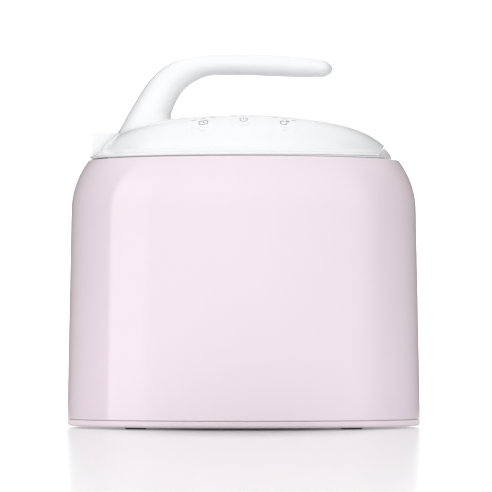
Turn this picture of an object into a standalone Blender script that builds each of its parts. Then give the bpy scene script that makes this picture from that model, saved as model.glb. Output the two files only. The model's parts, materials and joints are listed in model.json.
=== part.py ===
"""Freezer-bowl ice cream maker: an oval base, and a hinged motor head with a one-ended handle.

Metres, +Z up, front towards -Y. The origin is on the floor, below the centre of the bowl.
"""
import math

import bmesh
import bpy
from mathutils import Matrix, Vector

# Fits and walls
GAP = 0.0003                 # between pieces that touch
RUNNING_GAP = 0.00015        # between a pin and what turns on it
WALL = 0.0025
DEPTH_RATIO = 0.8            # depth of an oval divided by its width

# Base: heights
TRAY_BOTTOM = 0.0015
TRAY_FLOOR = 0.0045
TRAY_SHOULDER = 0.0062
SHELL_BOTTOM = 0.0065
SHOULDER_START = 0.160
RIM_TOP = 0.1963
RIM_UNDER = 0.1933
DECK_TOP = 0.1953
DECK_LEDGE = 0.1930
DECK_BOTTOM = 0.1907

# Base: half widths
SHELL_FOOT_HALF = 0.1300
SHELL_SHOULDER_HALF = 0.1269
SHOULDER_RADIUS = 0.062
RIM_INNER_HALF = 0.1105
DECK_FLANGE_HALF = 0.1135
TRAY_HALF = 0.1298
TRAY_LIP_HALF = 0.1270
TRAY_LIP_THICKNESS = 0.0025
TRAY_LIP_TOP = 0.0090

# Screws and feet of the base
SCREW_OVAL = 0.121           # half width of the oval that the tray screws stand on
SCREW_RADIUS = 0.0015
SCREW_HEAD_RADIUS = 0.0030
BOSS_RADIUS = 0.0070
BOSS_TOP = 0.026
FOOT_RADIUS = 0.008
FOOT_TOP = 0.0032
FOOT_PLACE = (0.078, 0.055)

# Freezer bowl and its well
WELL_RADIUS = 0.0765
WELL_FLOOR = 0.046
WELL_WALL = 0.002
WELL_FLANGE_RADIUS = 0.082
DECK_HOLE_RADIUS = 0.0775
FOAM_THICKNESS = 0.009
BOWL_OUTER_RADIUS = 0.0753
BOWL_INNER_RADIUS = 0.064
BOWL_SKIN = 0.0012
BOWL_BOTTOM = 0.0485
BOWL_FLOOR = 0.060
BOWL_WALL_TOP = 0.188
BOWL_RIM_TOP = 0.1925
PIVOT_RADIUS = 0.004
PIVOT_HEIGHT = 0.006

# Paddle
PADDLE_REACH = 0.061
PADDLE_THICKNESS = 0.005
PADDLE_LOW = 0.0612
PADDLE_HIGH = 0.168
PADDLE_POST_RADIUS = 0.0065
HUB_RADIUS = 0.010
HUB_TOP = 0.1825
SLOT_FLOOR = 0.1787
SLOT_HALF_WIDTH = 0.003
WINDOW_COLUMNS = ((0.0100, 0.0300), (0.0350, 0.0555))
WINDOW_ROWS = ((0.0680, 0.1120), (0.1180, 0.1620))
SCRAPER_REACH = 0.0631

# Head shell
DOME_HALF = 0.1070
DOME_CROWN = 0.0300
DOME_BASE = 0.1982
DOME_FILLET = 0.038          # run of the fillet along the front and the back edge
FILLET_POWER = 2.4
PROFILE_POWER = 2.2          # of the dome seen from the front
LIP_HALF = 0.1142
LIP_INNER_HALF = 0.1030
LIP_LOW = 0.1973
LIP_HIGH = 0.2003
SEAM_SLOPE = 0.010           # rise of the lip's underside towards the right end
END_TOP = (0.1038, 0.2072)   # x and z of two points on the slanted right end
END_LOW = (0.0976, 0.1982)
CAVITY_END = 0.0948

# Handle: x, z, thickness and width where the grip bends or swells
HANDLE_STATIONS = (
    (-0.0725, 0.2120, 0.046, 0.058),
    (-0.0715, 0.2220, 0.038, 0.048),
    (-0.0683, 0.2320, 0.031, 0.040),
    (-0.0600, 0.2465, 0.0255, 0.034),
    (-0.0475, 0.2585, 0.0205, 0.030),
    (-0.0300, 0.2655, 0.0175, 0.027),
    (-0.0050, 0.2675, 0.0163, 0.026),
    (0.0300, 0.2665, 0.0163, 0.026),
    (0.0520, 0.2647, 0.0148, 0.0245),
    (0.0620, 0.2636, 0.0095, 0.018),
    (0.0655, 0.2633, 0.0040, 0.009),
)
INSERT_LOW = ((-0.0180, 0.2589), (0.0140, 0.2586), (0.0440, 0.2575), (0.0500, 0.2571))
INSERT_TOP = 0.2620
INSERT_HALF_DEPTH = 0.0075

# Plates under the dome
COVER_BOTTOM = 0.1970
COVER_TOP = 0.1981
FLANGE_BOTTOM = 0.1966
FLANGE_HALF = 0.1118         # the cover's flange, which shows in the seam under the lip
FLANGE_INNER_HALF = 0.1000
FLANGE_GAP = 0.0002
FLANGE_START = -0.0985        # the flange stops where it would meet the rim on opening
PLATE_BOTTOM = 0.1984
PLATE_TOP = 0.2006
PLATE_HALF = 0.1028
PLATE_END = 0.0944
COVER_END = 0.0977
TAB_HALF = 0.1090
TAB_HALF_DEPTH = 0.0385
COVER_PASSAGE = (0.0935, 0.0395)   # start and half depth of the way out under the dome's end
SKIRT_RADIUS = 0.0623
SKIRT_BOTTOM = 0.1870

# Hinge
PIN = (-0.107, 0.2125)       # x and z of the hinge axis
PIN_RADIUS = 0.0015
PIN_HALF_LENGTH = 0.0126
CHEEK_INNER = 0.0095
CHEEK_OUTER = 0.0130
KNUCKLE_RADIUS = 0.0043
ARM_HALF = 0.0092
NOTCH_HALF = 0.0143
NOTCH_END = -0.089
NOTCH_TOP = 0.2171

# Drive: two spur stages between the motor and the output
PRESSURE_ANGLE = math.radians(25)
BACKLASH = 0.00025
TIP_HEIGHT = 0.9             # in modules
ROOT_DEPTH = 1.15            # in modules
PINION_TEETH = 12
WHEEL_TEETH = 36
MODULE_1 = 0.0012
MODULE_2 = 0.00135
CENTRES_1 = MODULE_1 * (PINION_TEETH + WHEEL_TEETH) / 2
CENTRES_2 = MODULE_2 * (PINION_TEETH + WHEEL_TEETH) / 2
IDLER_DIRECTION = math.radians(40)
MOTOR_DIRECTION = math.radians(-35)
STAGE_1 = (0.2012, 0.2052)
STAGE_2 = (0.2064, 0.2114)
BRIDGE = (0.2124, 0.2144)
SHAFT_RADIUS = 0.004
SHAFT_LOW = 0.1873
JOURNAL_RADIUS = 0.0028
IDLER_PIN_RADIUS = 0.002
MOTOR_SHAFT_RADIUS = 0.0016
MOTOR_CAN = (0.0190, 0.2058, 0.2185)   # radius, bottom, top
ROTOR = (0.0128, 0.2080, 0.2165)

# Controls on the front fillet
KEY_PLACES = (-0.0291, 0.0, 0.0294)
KEY_NAMES = ("timer", "power", "mode")
KEY_Y = -0.0738
KEY_SIZE = (0.017, 0.0135)
KEY_THICKNESS = 0.0022
KEY_TRAVEL = 0.0008
LIGHT_Y = -0.0645
LIGHT_SPACING = 0.0068
LIGHT_SIZE = (0.0036, 0.0014)
LIGHT_BAR = (0.0095, 0.0016, -0.0067, -0.0040)   # half width, half depth, bottom, top
BOARD_DEPTH = 0.0120         # below the outer surface
BOARD_SIZE = (0.078, 0.010, 0.0016)
SWITCH_SIZE = (0.006, 0.006, 0.0032)
TILT_REACH = 0.006           # lever arm of a tilted key's stem over its switch

# Mains inlet
INLET_Z = 0.029
INLET_HALF = (0.0127, 0.0097)
INLET_BACK = 0.088
INLET_FACE = 0.1029
SOCKET_HALF = (0.0082, 0.0050)
SOCKET_FLOOR = 0.092
CONTACT_PLACE = 0.0043

FINE = 48                    # sides of the large ovals
ROUND = 32                   # sides of the bowl and the gearbox parts
SMALL = 12                   # sides of screws, pins and bushes


# ---------------------------------------------------------------- solids

def turned(outline, ratio=1.0, sides=ROUND, centre=(0.0, 0.0)):
    """Spin an outline of (radius, z) points about +Z. Radius 0 gives a pole.

    The ratio squeezes every ring along Y, or only a point's own ring if the point names one.
    """
    mesh = bmesh.new()
    rings = []
    for radius, z, *own_ratio in outline:
        squeeze = own_ratio[0] if own_ratio else ratio
        ring = []
        for step in range(sides if radius else 1):
            angle = 2 * math.pi * step / sides
            x = centre[0] + radius * math.cos(angle)
            y = centre[1] + radius * squeeze * math.sin(angle)
            ring.append(mesh.verts.new((x, y, z)))
        rings.append(ring)
    for low, high in zip(rings, rings[1:] + rings[:1]):
        if len(low) == 1 and len(high) == 1:
            continue
        for step in range(sides):
            after = (step + 1) % sides
            corners = [low[step % len(low)], low[after % len(low)],
                       high[after % len(high)], high[step % len(high)]]
            mesh.faces.new(list(dict.fromkeys(corners)))
    return finished(mesh)


def lofted(sections):
    """Skin equal rings of points and close both ends."""
    mesh = bmesh.new()
    rings = []
    for section in sections:
        rings.append([mesh.verts.new(point) for point in section])
    count = len(rings[0])
    for low, high in zip(rings, rings[1:]):
        for step in range(count):
            after = (step + 1) % count
            mesh.faces.new((low[step], low[after], high[after], high[step]))
    mesh.faces.new(rings[0])
    mesh.faces.new(list(reversed(rings[-1])))
    return finished(mesh)


def prism(outline, axis, low, high):
    """Extrude a closed outline; its two coordinates are the other axes in X, Y, Z order."""
    sections = []
    for level in (low, high):
        section = []
        for first, second in outline:
            point = [first, second]
            point.insert(axis, level)
            section.append(tuple(point))
        sections.append(section)
    return lofted(sections)


def box(low, high):
    outline = [(low[0], low[1]), (high[0], low[1]), (high[0], high[1]), (low[0], high[1])]
    return prism(outline, 2, low[2], high[2])


def cylinder(radius, low, high, centre=(0.0, 0.0), sides=SMALL):
    return turned([(0.0, low), (radius, low), (radius, high), (0.0, high)], 1.0, sides, centre)


def finished(mesh):
    bmesh.ops.recalc_face_normals(mesh, faces=mesh.faces)
    return mesh


def moved(mesh, matrix):
    mesh.transform(matrix)
    return mesh


def rounded_rectangle(width, height, radius, steps=3):
    points = []
    for corner in range(4):
        sign_x = (1, -1, -1, 1)[corner]
        sign_y = (1, 1, -1, -1)[corner]
        for step in range(steps + 1):
            angle = math.pi / 2 * (corner + step / steps)
            x = sign_x * (width / 2 - radius) + radius * math.cos(angle)
            y = sign_y * (height / 2 - radius) + radius * math.sin(angle)
            points.append((x, y))
    return points


def arc(centre, radius, start, end, steps):
    points = []
    for step in range(steps + 1):
        angle = start + (end - start) * step / steps
        points.append((centre[0] + radius * math.cos(angle), centre[1] + radius * math.sin(angle)))
    return points


# ---------------------------------------------------------------- scene objects

def clear_scene():
    for item in list(bpy.data.objects):
        bpy.data.objects.remove(item)


def paint(name, colour, roughness, metallic=0.0, alpha=1.0):
    material = bpy.data.materials.new(name)
    material.use_nodes = True
    shader = material.node_tree.nodes["Principled BSDF"]
    shader.inputs["Base Color"].default_value = (*colour, 1.0)
    shader.inputs["Roughness"].default_value = roughness
    shader.inputs["Metallic"].default_value = metallic
    shader.inputs["Alpha"].default_value = alpha
    return material


def link(name, mesh):
    data = bpy.data.meshes.new(name)
    mesh.to_mesh(data)
    mesh.free()
    item = bpy.data.objects.new(name, data)
    bpy.context.collection.objects.link(item)
    return item


def axis_empty(name, place, parent=None):
    empty = bpy.data.objects.new(name, None)
    bpy.context.collection.objects.link(empty)
    empty.location = place
    if parent:
        attach(empty, parent, keep=place)
    return empty


def attach(item, parent, keep=None):
    """Parent an item to an empty without moving it."""
    offset = Vector(parent["place"])
    item.parent = parent
    item.matrix_parent_inverse = Matrix.Translation(-offset)
    if keep is not None:
        item["place"] = keep


def piece(name, mesh, material, parent=None):
    item = link(name, mesh)
    item.data.materials.append(material)
    item.data.shade_smooth()
    item.data.set_sharp_from_angle(angle=math.radians(35))
    if parent:
        attach(item, parent)
    return item


def tool(item, mesh, operation):
    """Cut a piece with a hidden solid, or join it to one."""
    count = len(item.modifiers) + 1
    helper = link(f"{item.name}_{operation.lower()}_{count}", mesh)
    helper.hide_render = True
    helper.display_type = "WIRE"
    boolean = item.modifiers.new(helper.name, "BOOLEAN")
    boolean.operation = operation
    boolean.solver = "EXACT"
    boolean.object = helper


def cut(item, mesh):
    tool(item, mesh, "DIFFERENCE")


def join(item, mesh):
    tool(item, mesh, "UNION")


# ---------------------------------------------------------------- base

def shoulder(offset, top):
    """Arc of the shell's shoulder, from the straight side up to a height."""
    lean = math.atan((SHELL_FOOT_HALF - SHELL_SHOULDER_HALF) / (SHOULDER_START - SHELL_BOTTOM))
    centre = (SHELL_SHOULDER_HALF - SHOULDER_RADIUS * math.cos(lean),
              SHOULDER_START - SHOULDER_RADIUS * math.sin(lean))
    radius = SHOULDER_RADIUS - offset
    end = math.asin((top - centre[1]) / radius)
    return arc(centre, radius, lean, end, 4)


def tray_screw_places():
    places = []
    for sign_x, sign_y in ((1, 1), (-1, 1), (-1, -1), (1, -1)):
        across = SCREW_OVAL * math.sqrt(0.5)
        places.append((sign_x * across, sign_y * across * DEPTH_RATIO))
    return places


def make_outer_shell(pink):
    outline = [(SHELL_FOOT_HALF, SHELL_BOTTOM)]
    outline += shoulder(0.0, RIM_TOP)
    outline += [(RIM_INNER_HALF, RIM_TOP), (RIM_INNER_HALF, RIM_UNDER)]
    outline += reversed(shoulder(WALL, RIM_UNDER))
    outline += [(SHELL_FOOT_HALF - WALL, SHELL_BOTTOM)]
    shell = piece("outer_shell", turned(outline, DEPTH_RATIO, FINE), pink)
    for place in tray_screw_places():
        join(shell, cylinder(BOSS_RADIUS, TRAY_LIP_TOP + GAP, BOSS_TOP, place))
    for place in tray_screw_places():
        cut(shell, cylinder(SCREW_RADIUS + GAP, 0.0, 0.020, place))
    half_x, half_z = INLET_HALF
    cut(shell, box((-half_x - GAP, 0.090, INLET_Z - half_z - GAP),
                   (half_x + GAP, 0.115, INLET_Z + half_z + GAP)))


def make_tray(pink, rubber, steel):
    lip_inner = TRAY_LIP_HALF - TRAY_LIP_THICKNESS
    outline = [(0.0, TRAY_BOTTOM), (TRAY_HALF - 0.0016, TRAY_BOTTOM),
               (TRAY_HALF - 0.0005, TRAY_BOTTOM + 0.0007), (TRAY_HALF, TRAY_BOTTOM + 0.0019),
               (TRAY_HALF, TRAY_SHOULDER), (TRAY_LIP_HALF, TRAY_SHOULDER),
               (TRAY_LIP_HALF, TRAY_LIP_TOP), (lip_inner, TRAY_LIP_TOP),
               (lip_inner, TRAY_FLOOR), (0.0, TRAY_FLOOR)]
    tray = piece("base_tray", turned(outline, DEPTH_RATIO, FINE), pink)
    for place in board_post_places():
        join(tray, cylinder(0.0035, TRAY_FLOOR - 0.001, 0.0097, place, 12))
    corners = ((1, 1), (-1, 1), (-1, -1), (1, -1))
    for number, (sign_x, sign_y) in enumerate(corners, 1):
        place = (sign_x * FOOT_PLACE[0], sign_y * FOOT_PLACE[1])
        cut(tray, cylinder(FOOT_RADIUS + GAP, 0.0, FOOT_TOP + GAP, place, 20))
        outline = [(0.0, 0.0), (FOOT_RADIUS - 0.001, 0.0), (FOOT_RADIUS, 0.0008),
                   (FOOT_RADIUS, FOOT_TOP), (0.0, FOOT_TOP)]
        piece(f"foot_{number}", turned(outline, 1.0, 20, place), rubber)
    for number, place in enumerate(tray_screw_places(), 1):
        cut(tray, cylinder(SCREW_RADIUS + GAP, 0.0, 0.010, place))
        cut(tray, cylinder(SCREW_HEAD_RADIUS + GAP, 0.0, 0.0034, place))
        outline = [(0.0, 0.0017), (SCREW_HEAD_RADIUS, 0.0017), (SCREW_HEAD_RADIUS, 0.0031),
                   (SCREW_RADIUS, 0.0031), (SCREW_RADIUS, 0.018), (0.0, 0.019)]
        piece(f"tray_screw_{number}", turned(outline, 1.0, SMALL, place), steel)


def make_deck(white, steel):
    outline = [(DECK_HOLE_RADIUS, DECK_BOTTOM, 1.0), (DECK_FLANGE_HALF, DECK_BOTTOM),
               (DECK_FLANGE_HALF, DECK_LEDGE), (RIM_INNER_HALF - GAP, DECK_LEDGE),
               (RIM_INNER_HALF - GAP, DECK_TOP), (DECK_HOLE_RADIUS, DECK_TOP, 1.0)]
    deck = piece("deck_ring", turned(outline, DEPTH_RATIO, FINE), white)
    for side in (-1, 1):
        ends = sorted((side * CHEEK_INNER, side * CHEEK_OUTER))
        join(deck, prism(cheek_outline(), 1, ends[0], ends[1]))
    bore = PIN_HALF_LENGTH + 0.0002
    cut(deck, pin_cylinder(PIN_RADIUS + RUNNING_GAP, bore))
    plate = (0.0900, 0.0060, 0.0100)
    pocket = box((plate[0] - plate[1] - GAP, -plate[2] - GAP, DECK_TOP - 0.0015),
                 (plate[0] + plate[1] + GAP, plate[2] + GAP, DECK_TOP + 0.005))
    cut(deck, pocket)
    piece("strike_plate", box((plate[0] - plate[1], -plate[2], DECK_TOP - 0.0012),
                              (plate[0] + plate[1], plate[2], DECK_TOP - 0.0002)), steel)


def cheek_outline():
    left = PIN[0] - 0.0044
    right = -0.091
    top = PIN[1] + KNUCKLE_RADIUS
    corner = 0.0022
    points = [(right, DECK_TOP - 0.0008), (right, top - corner)]
    points += arc((right - corner, top - corner), corner, 0.0, math.pi / 2, 4)[1:]
    points += arc((left + corner, top - corner), corner, math.pi / 2, math.pi, 4)
    points += [(left, RIM_TOP + 0.0004), (-0.1085, RIM_TOP + 0.0004), (-0.1085, DECK_TOP - 0.0008)]
    return points


def pin_cylinder(radius, half_length, sides=SMALL):
    rod = cylinder(radius, -half_length, half_length, (0.0, 0.0), sides)
    turn = Matrix.Rotation(math.pi / 2, 4, "X")
    return moved(rod, Matrix.Translation((PIN[0], 0.0, PIN[1])) @ turn)


def make_well(white, foam, rubber):
    outer = WELL_RADIUS + WELL_WALL
    flange_top = DECK_BOTTOM - GAP
    flange_low = flange_top - WELL_WALL
    outline = [(0.0, WELL_FLOOR - WELL_WALL), (outer, WELL_FLOOR - WELL_WALL), (outer, flange_low),
               (WELL_FLANGE_RADIUS, flange_low), (WELL_FLANGE_RADIUS, flange_top),
               (WELL_RADIUS, flange_top), (WELL_RADIUS, WELL_FLOOR), (0.0, WELL_FLOOR)]
    piece("bowl_well", turned(outline, 1.0, 48), white)
    inner = outer + 2 * GAP
    outline = [(inner, WELL_FLOOR), (inner + FOAM_THICKNESS, WELL_FLOOR),
               (inner + FOAM_THICKNESS, flange_low - 0.002), (inner, flange_low - 0.002)]
    piece("foam_sleeve", turned(outline, 1.0, 48), foam)
    outline = [(0.040, WELL_FLOOR + GAP), (0.060, WELL_FLOOR + GAP),
               (0.060, BOWL_BOTTOM - GAP), (0.040, BOWL_BOTTOM - GAP)]
    piece("bowl_pad", turned(outline), rubber)


def make_bowl(white, aluminium, gel, rubber):
    outer = BOWL_OUTER_RADIUS
    inner = BOWL_INNER_RADIUS
    skin = BOWL_SKIN
    outline = [(0.0, BOWL_BOTTOM), (outer - 0.006, BOWL_BOTTOM), (outer, BOWL_BOTTOM + 0.006),
               (outer, BOWL_WALL_TOP), (outer - skin, BOWL_WALL_TOP),
               (outer - skin, BOWL_BOTTOM + 0.0065), (outer - 0.0065, BOWL_BOTTOM + skin),
               (0.0, BOWL_BOTTOM + skin)]
    piece("bowl_outer", turned(outline, 1.0, 48), white)
    outline = [(0.0, BOWL_FLOOR - skin), (inner - 0.006, BOWL_FLOOR - skin),
               (inner + skin, BOWL_FLOOR + 0.006), (inner + skin, BOWL_WALL_TOP),
               (inner, BOWL_WALL_TOP), (inner, BOWL_FLOOR + 0.0065), (inner - 0.0065, BOWL_FLOOR),
               (PIVOT_RADIUS, BOWL_FLOOR), (PIVOT_RADIUS, BOWL_FLOOR + PIVOT_HEIGHT),
               (0.0, BOWL_FLOOR + PIVOT_HEIGHT)]
    piece("bowl_inner", turned(outline, 1.0, 48), aluminium)
    inside = outer - skin - GAP
    outside = inner + skin + GAP
    low = BOWL_BOTTOM + skin + GAP
    outline = [(0.0, low), (inside - 0.007, low), (inside, low + 0.007),
               (inside, BOWL_WALL_TOP - 0.012), (outside, BOWL_WALL_TOP - 0.012),
               (outside, BOWL_FLOOR + 0.0058), (inner - 0.0058, BOWL_FLOOR - skin - GAP),
               (0.0, BOWL_FLOOR - skin - GAP)]
    piece("coolant_gel", turned(outline), gel)
    low = BOWL_WALL_TOP + GAP
    outline = [(inner, low), (outer, low), (outer, BOWL_RIM_TOP - 0.001),
               (outer - 0.001, BOWL_RIM_TOP), (inner + 0.001, BOWL_RIM_TOP),
               (inner, BOWL_RIM_TOP - 0.001)]
    piece("bowl_rim_seal", turned(outline, 1.0, 48), rubber)


def board_post_places():
    return [(-0.040, -0.030), (-0.040, 0.050), (0.045, -0.030), (0.045, 0.050)]


def make_electrics(black, board, copper, brass, cable):
    piece("power_board", box((-0.048, -0.038, 0.010), (0.052, 0.058, 0.0116)), board)
    coil = box((0.000, -0.022, 0.0119), (0.040, 0.014, 0.036))
    piece("transformer", coil, copper)
    half_x, half_z = INLET_HALF
    inlet = piece("power_inlet", box((-half_x, INLET_BACK, INLET_Z - half_z),
                                     (half_x, INLET_FACE, INLET_Z + half_z)), black)
    socket_x, socket_z = SOCKET_HALF
    outline = rounded_rectangle(2 * socket_x, 2 * socket_z, socket_z - 0.0005, 4)
    outline = [(x, z + INLET_Z) for x, z in outline]
    cut(inlet, prism(outline, 1, SOCKET_FLOOR, 0.110))
    for name, side in (("left", -1), ("right", 1)):
        contact = cylinder(0.0012, SOCKET_FLOOR + GAP, INLET_FACE - 0.0015, (0.0, 0.0), 12)
        lay = Matrix.Rotation(-math.pi / 2, 4, "X")
        shift = Matrix.Translation((side * CONTACT_PLACE, 0.0, INLET_Z))
        piece(f"inlet_contact_{name}", moved(contact, shift @ lay), brass)
    route = [(-0.052, 0.010, 0.014), (-0.066, 0.008, 0.014), (-0.084, 0.004, 0.018),
             (-0.095, 0.001, 0.030), (-0.098, 0.0, 0.050), (-0.098, 0.0, 0.110),
             (-0.098, 0.0, 0.165), (-0.098, 0.0, 0.1885)]
    lead = bpy.data.curves.new("hinge_lead", "CURVE")
    lead.dimensions = "3D"
    lead.bevel_depth = 0.002
    lead.bevel_resolution = 2
    lead.use_fill_caps = True
    lead.render_resolution_u = 0
    spline = lead.splines.new("POLY")
    spline.points.add(len(route) - 1)
    for point, place in zip(spline.points, route):
        point.co = (*place, 1.0)
    lead.materials.append(cable)
    item = bpy.data.objects.new("hinge_lead", lead)
    bpy.context.collection.objects.link(item)


# ---------------------------------------------------------------- paddle

def make_paddle(spin, plastic, silicone):
    half = PADDLE_THICKNESS / 2
    reach = PADDLE_REACH
    corner = 0.0065
    outline = [(corner - reach, PADDLE_LOW), (reach - corner, PADDLE_LOW),
               (reach, PADDLE_LOW + corner), (reach, PADDLE_HIGH - corner),
               (reach - corner, PADDLE_HIGH), (corner - reach, PADDLE_HIGH),
               (-reach, PADDLE_HIGH - corner), (-reach, PADDLE_LOW + corner)]
    paddle = piece("paddle", prism(outline, 1, -half, half), plastic, spin)
    join(paddle, cylinder(PADDLE_POST_RADIUS, PADDLE_LOW, HUB_TOP - 0.004, (0, 0), 24))
    join(paddle, cylinder(HUB_RADIUS, PADDLE_HIGH + 0.002, HUB_TOP, (0, 0), 24))
    for side in (-1, 1):
        for column in WINDOW_COLUMNS:
            for row in WINDOW_ROWS:
                ends = sorted((side * column[0], side * column[1]))
                cut(paddle, box((ends[0], -0.01, row[0]), (ends[1], 0.01, row[1])))
    bore_top = BOWL_FLOOR + PIVOT_HEIGHT + 0.001
    cut(paddle, cylinder(PIVOT_RADIUS + RUNNING_GAP, 0.055, bore_top, (0, 0), 24))
    cut(paddle, box((-0.02, -SLOT_HALF_WIDTH, SLOT_FLOOR), (0.02, SLOT_HALF_WIDTH, 0.19)))
    for name, side in (("left", -1), ("right", 1)):
        ends = sorted((side * (PADDLE_REACH + GAP), side * SCRAPER_REACH))
        strip = box((ends[0], -0.0015, 0.068), (ends[1], 0.0015, 0.160))
        piece(f"scraper_{name}", strip, silicone, spin)


# ---------------------------------------------------------------- head

def dome_section(x, inset, floor):
    """Section of the dome across Y at one x, pulled in by an inset."""
    half = DOME_HALF - inset
    height = (DOME_CROWN - inset) * (1.0 - abs(x / half) ** PROFILE_POWER) ** (1 / PROFILE_POWER)
    depth = DEPTH_RATIO * half * math.sqrt(1.0 - (x / half) ** 2)
    fillet = min(DOME_FILLET, depth)
    front = [(-depth, floor)]
    for step in range(7):
        run = 1.0 - (step / 6) ** 1.6
        rise = (1.0 - run ** FILLET_POWER) ** 0.5 if run < 1.0 else 0.0
        front.append((-(depth - fillet) - fillet * run, DOME_BASE + height * rise))
    back = [(-y, z) for y, z in reversed(front)]
    return [(x, y, z) for y, z in front + back]


def dome(inset, floor, end):
    half = DOME_HALF - inset
    first = math.radians(4)
    last = math.acos(-end / half) if end < half else math.pi - first
    sections = []
    steps = 18
    for step in range(steps + 1):
        angle = first + (last - first) * step / steps
        sections.append(dome_section(-half * math.cos(angle), inset, floor))
    return lofted(sections)


def surface_point(x, y):
    """Height and outward normal of the dome at a point of its front fillet."""
    def height(px, py):
        depth = DEPTH_RATIO * DOME_HALF * math.sqrt(1.0 - (px / DOME_HALF) ** 2)
        run = max(0.0, (abs(py) - depth) / DOME_FILLET + 1.0)
        rise = (1.0 - run ** FILLET_POWER) ** 0.5
        crest = (1.0 - abs(px / DOME_HALF) ** PROFILE_POWER) ** (1 / PROFILE_POWER)
        return DOME_BASE + DOME_CROWN * crest * rise
    step = 0.0005
    slope_x = (height(x + step, y) - height(x - step, y)) / (2 * step)
    slope_y = (height(x, y + step) - height(x, y - step)) / (2 * step)
    return Vector((x, y, height(x, y))), Vector((-slope_x, -slope_y, 1.0)).normalized()


def surface_frame(x, y):
    """Matrix whose +Z stands out of the dome at a point."""
    place, normal = surface_point(x, y)
    side = Vector((1.0, 0.0, 0.0))
    up = normal.cross(side).normalized()
    side = up.cross(normal)
    turn = Matrix((side, up, normal)).transposed().to_4x4()
    return Matrix.Translation(place) @ turn


def spline_value(values, position):
    """Catmull-Rom value at a position counted in stations."""
    index = min(int(position), len(values) - 2)
    part = position - index
    before = values[max(index - 1, 0)]
    start = values[index]
    end = values[index + 1]
    after = values[min(index + 2, len(values) - 1)]
    return 0.5 * (2 * start + (end - before) * part
                  + (2 * before - 5 * start + 4 * end - after) * part ** 2
                  + (3 * start - before - 3 * end + after) * part ** 3)


def handle():
    columns = list(zip(*HANDLE_STATIONS))
    steps = 20
    last = len(HANDLE_STATIONS) - 1
    sections = []
    for step in range(steps + 1):
        position = last * step / steps
        x, z, thickness, width = [spline_value(column, position) for column in columns]
        near = min(position + 0.05, last)
        far = max(position - 0.05, 0)
        run = spline_value(columns[0], near) - spline_value(columns[0], far)
        climb = spline_value(columns[1], near) - spline_value(columns[1], far)
        length = math.hypot(run, climb)
        across = (-climb / length, run / length)
        section = []
        for side in range(12):
            angle = 2 * math.pi * side / 12
            cosine = math.cos(angle)
            sine = math.sin(angle)
            out = thickness / 2 * math.copysign(abs(cosine) ** 0.8, cosine)
            wide = width / 2 * math.copysign(abs(sine) ** 0.8, sine)
            section.append((x + across[0] * out, wide, z + across[1] * out))
        sections.append(section)
    return lofted(sections)


def end_cutter():
    """Everything to the right of the slanted end of the dome."""
    slope = (END_TOP[0] - END_LOW[0]) / (END_TOP[1] - END_LOW[1])
    low = END_LOW[0] - slope * (END_LOW[1] - 0.190)
    high = END_TOP[0] + slope * (0.235 - END_TOP[1])
    outline = [(low, 0.190), (0.130, 0.190), (0.130, 0.235), (high, 0.235)]
    return prism(outline, 1, -0.10, 0.10)


def notch():
    return box((-0.130, -NOTCH_HALF, 0.185), (NOTCH_END, NOTCH_HALF, NOTCH_TOP))


def seam_wedge():
    """Everything under the slope that the lip's right half follows."""
    right = 0.130
    outline = [(0.0, 0.185), (right, 0.185), (right, LIP_LOW + SEAM_SLOPE * right), (0.0, LIP_LOW)]
    return prism(outline, 1, -0.10, 0.10)


def make_head_shell(head, white, grip):
    shell = piece("head_shell", dome(0.0, DOME_BASE - 0.0004, DOME_HALF), white, head)
    outline = [(LIP_INNER_HALF, LIP_LOW), (LIP_HALF - 0.0006, LIP_LOW), (LIP_HALF, LIP_LOW + 0.0006),
               (LIP_HALF, LIP_HIGH - 0.0011), (0.1085, LIP_HIGH), (LIP_INNER_HALF, LIP_HIGH)]
    join(shell, turned(outline, DEPTH_RATIO, FINE))
    join(shell, handle())
    cut(shell, dome(WALL, 0.185, CAVITY_END))
    for place in boss_places():
        join(shell, cylinder(0.004, PLATE_TOP + GAP, 0.2225, place))
        cut(shell, cylinder(SCREW_RADIUS + GAP, 0.190, 0.212, place))
    cut(shell, end_cutter())
    cut(shell, box((COVER_PASSAGE[0], -COVER_PASSAGE[1], 0.185),
                   (0.130, COVER_PASSAGE[1], PLATE_BOTTOM)))
    cut(shell, notch())
    cut(shell, seam_wedge())
    for x in KEY_PLACES:
        cut(shell, moved(key_block(GAP, -0.010, 0.010), surface_frame(x, KEY_Y)))
        for step in (-1, 0, 1):
            frame = surface_frame(x + step * LIGHT_SPACING, LIGHT_Y)
            cut(shell, moved(light_block(GAP, -0.010, 0.010), frame))
    top = INSERT_TOP + GAP
    low = [(x, z - 0.004) for x, z in INSERT_LOW]
    outline = [(low[0][0] - GAP, low[0][1])] + low[1:-1] + [(low[-1][0] + GAP, low[-1][1]),
              (low[-1][0] + GAP, top), (low[0][0] - GAP, top)]
    half = INSERT_HALF_DEPTH + GAP
    cut(shell, prism(outline, 1, -half, half))
    outline = list(INSERT_LOW) + [(INSERT_LOW[-1][0], INSERT_TOP), (INSERT_LOW[0][0], INSERT_TOP)]
    piece("handle_insert", prism(outline, 1, -INSERT_HALF_DEPTH, INSERT_HALF_DEPTH), grip, head)


def boss_places():
    return [(-0.055, -0.045), (-0.055, 0.045)]


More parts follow.
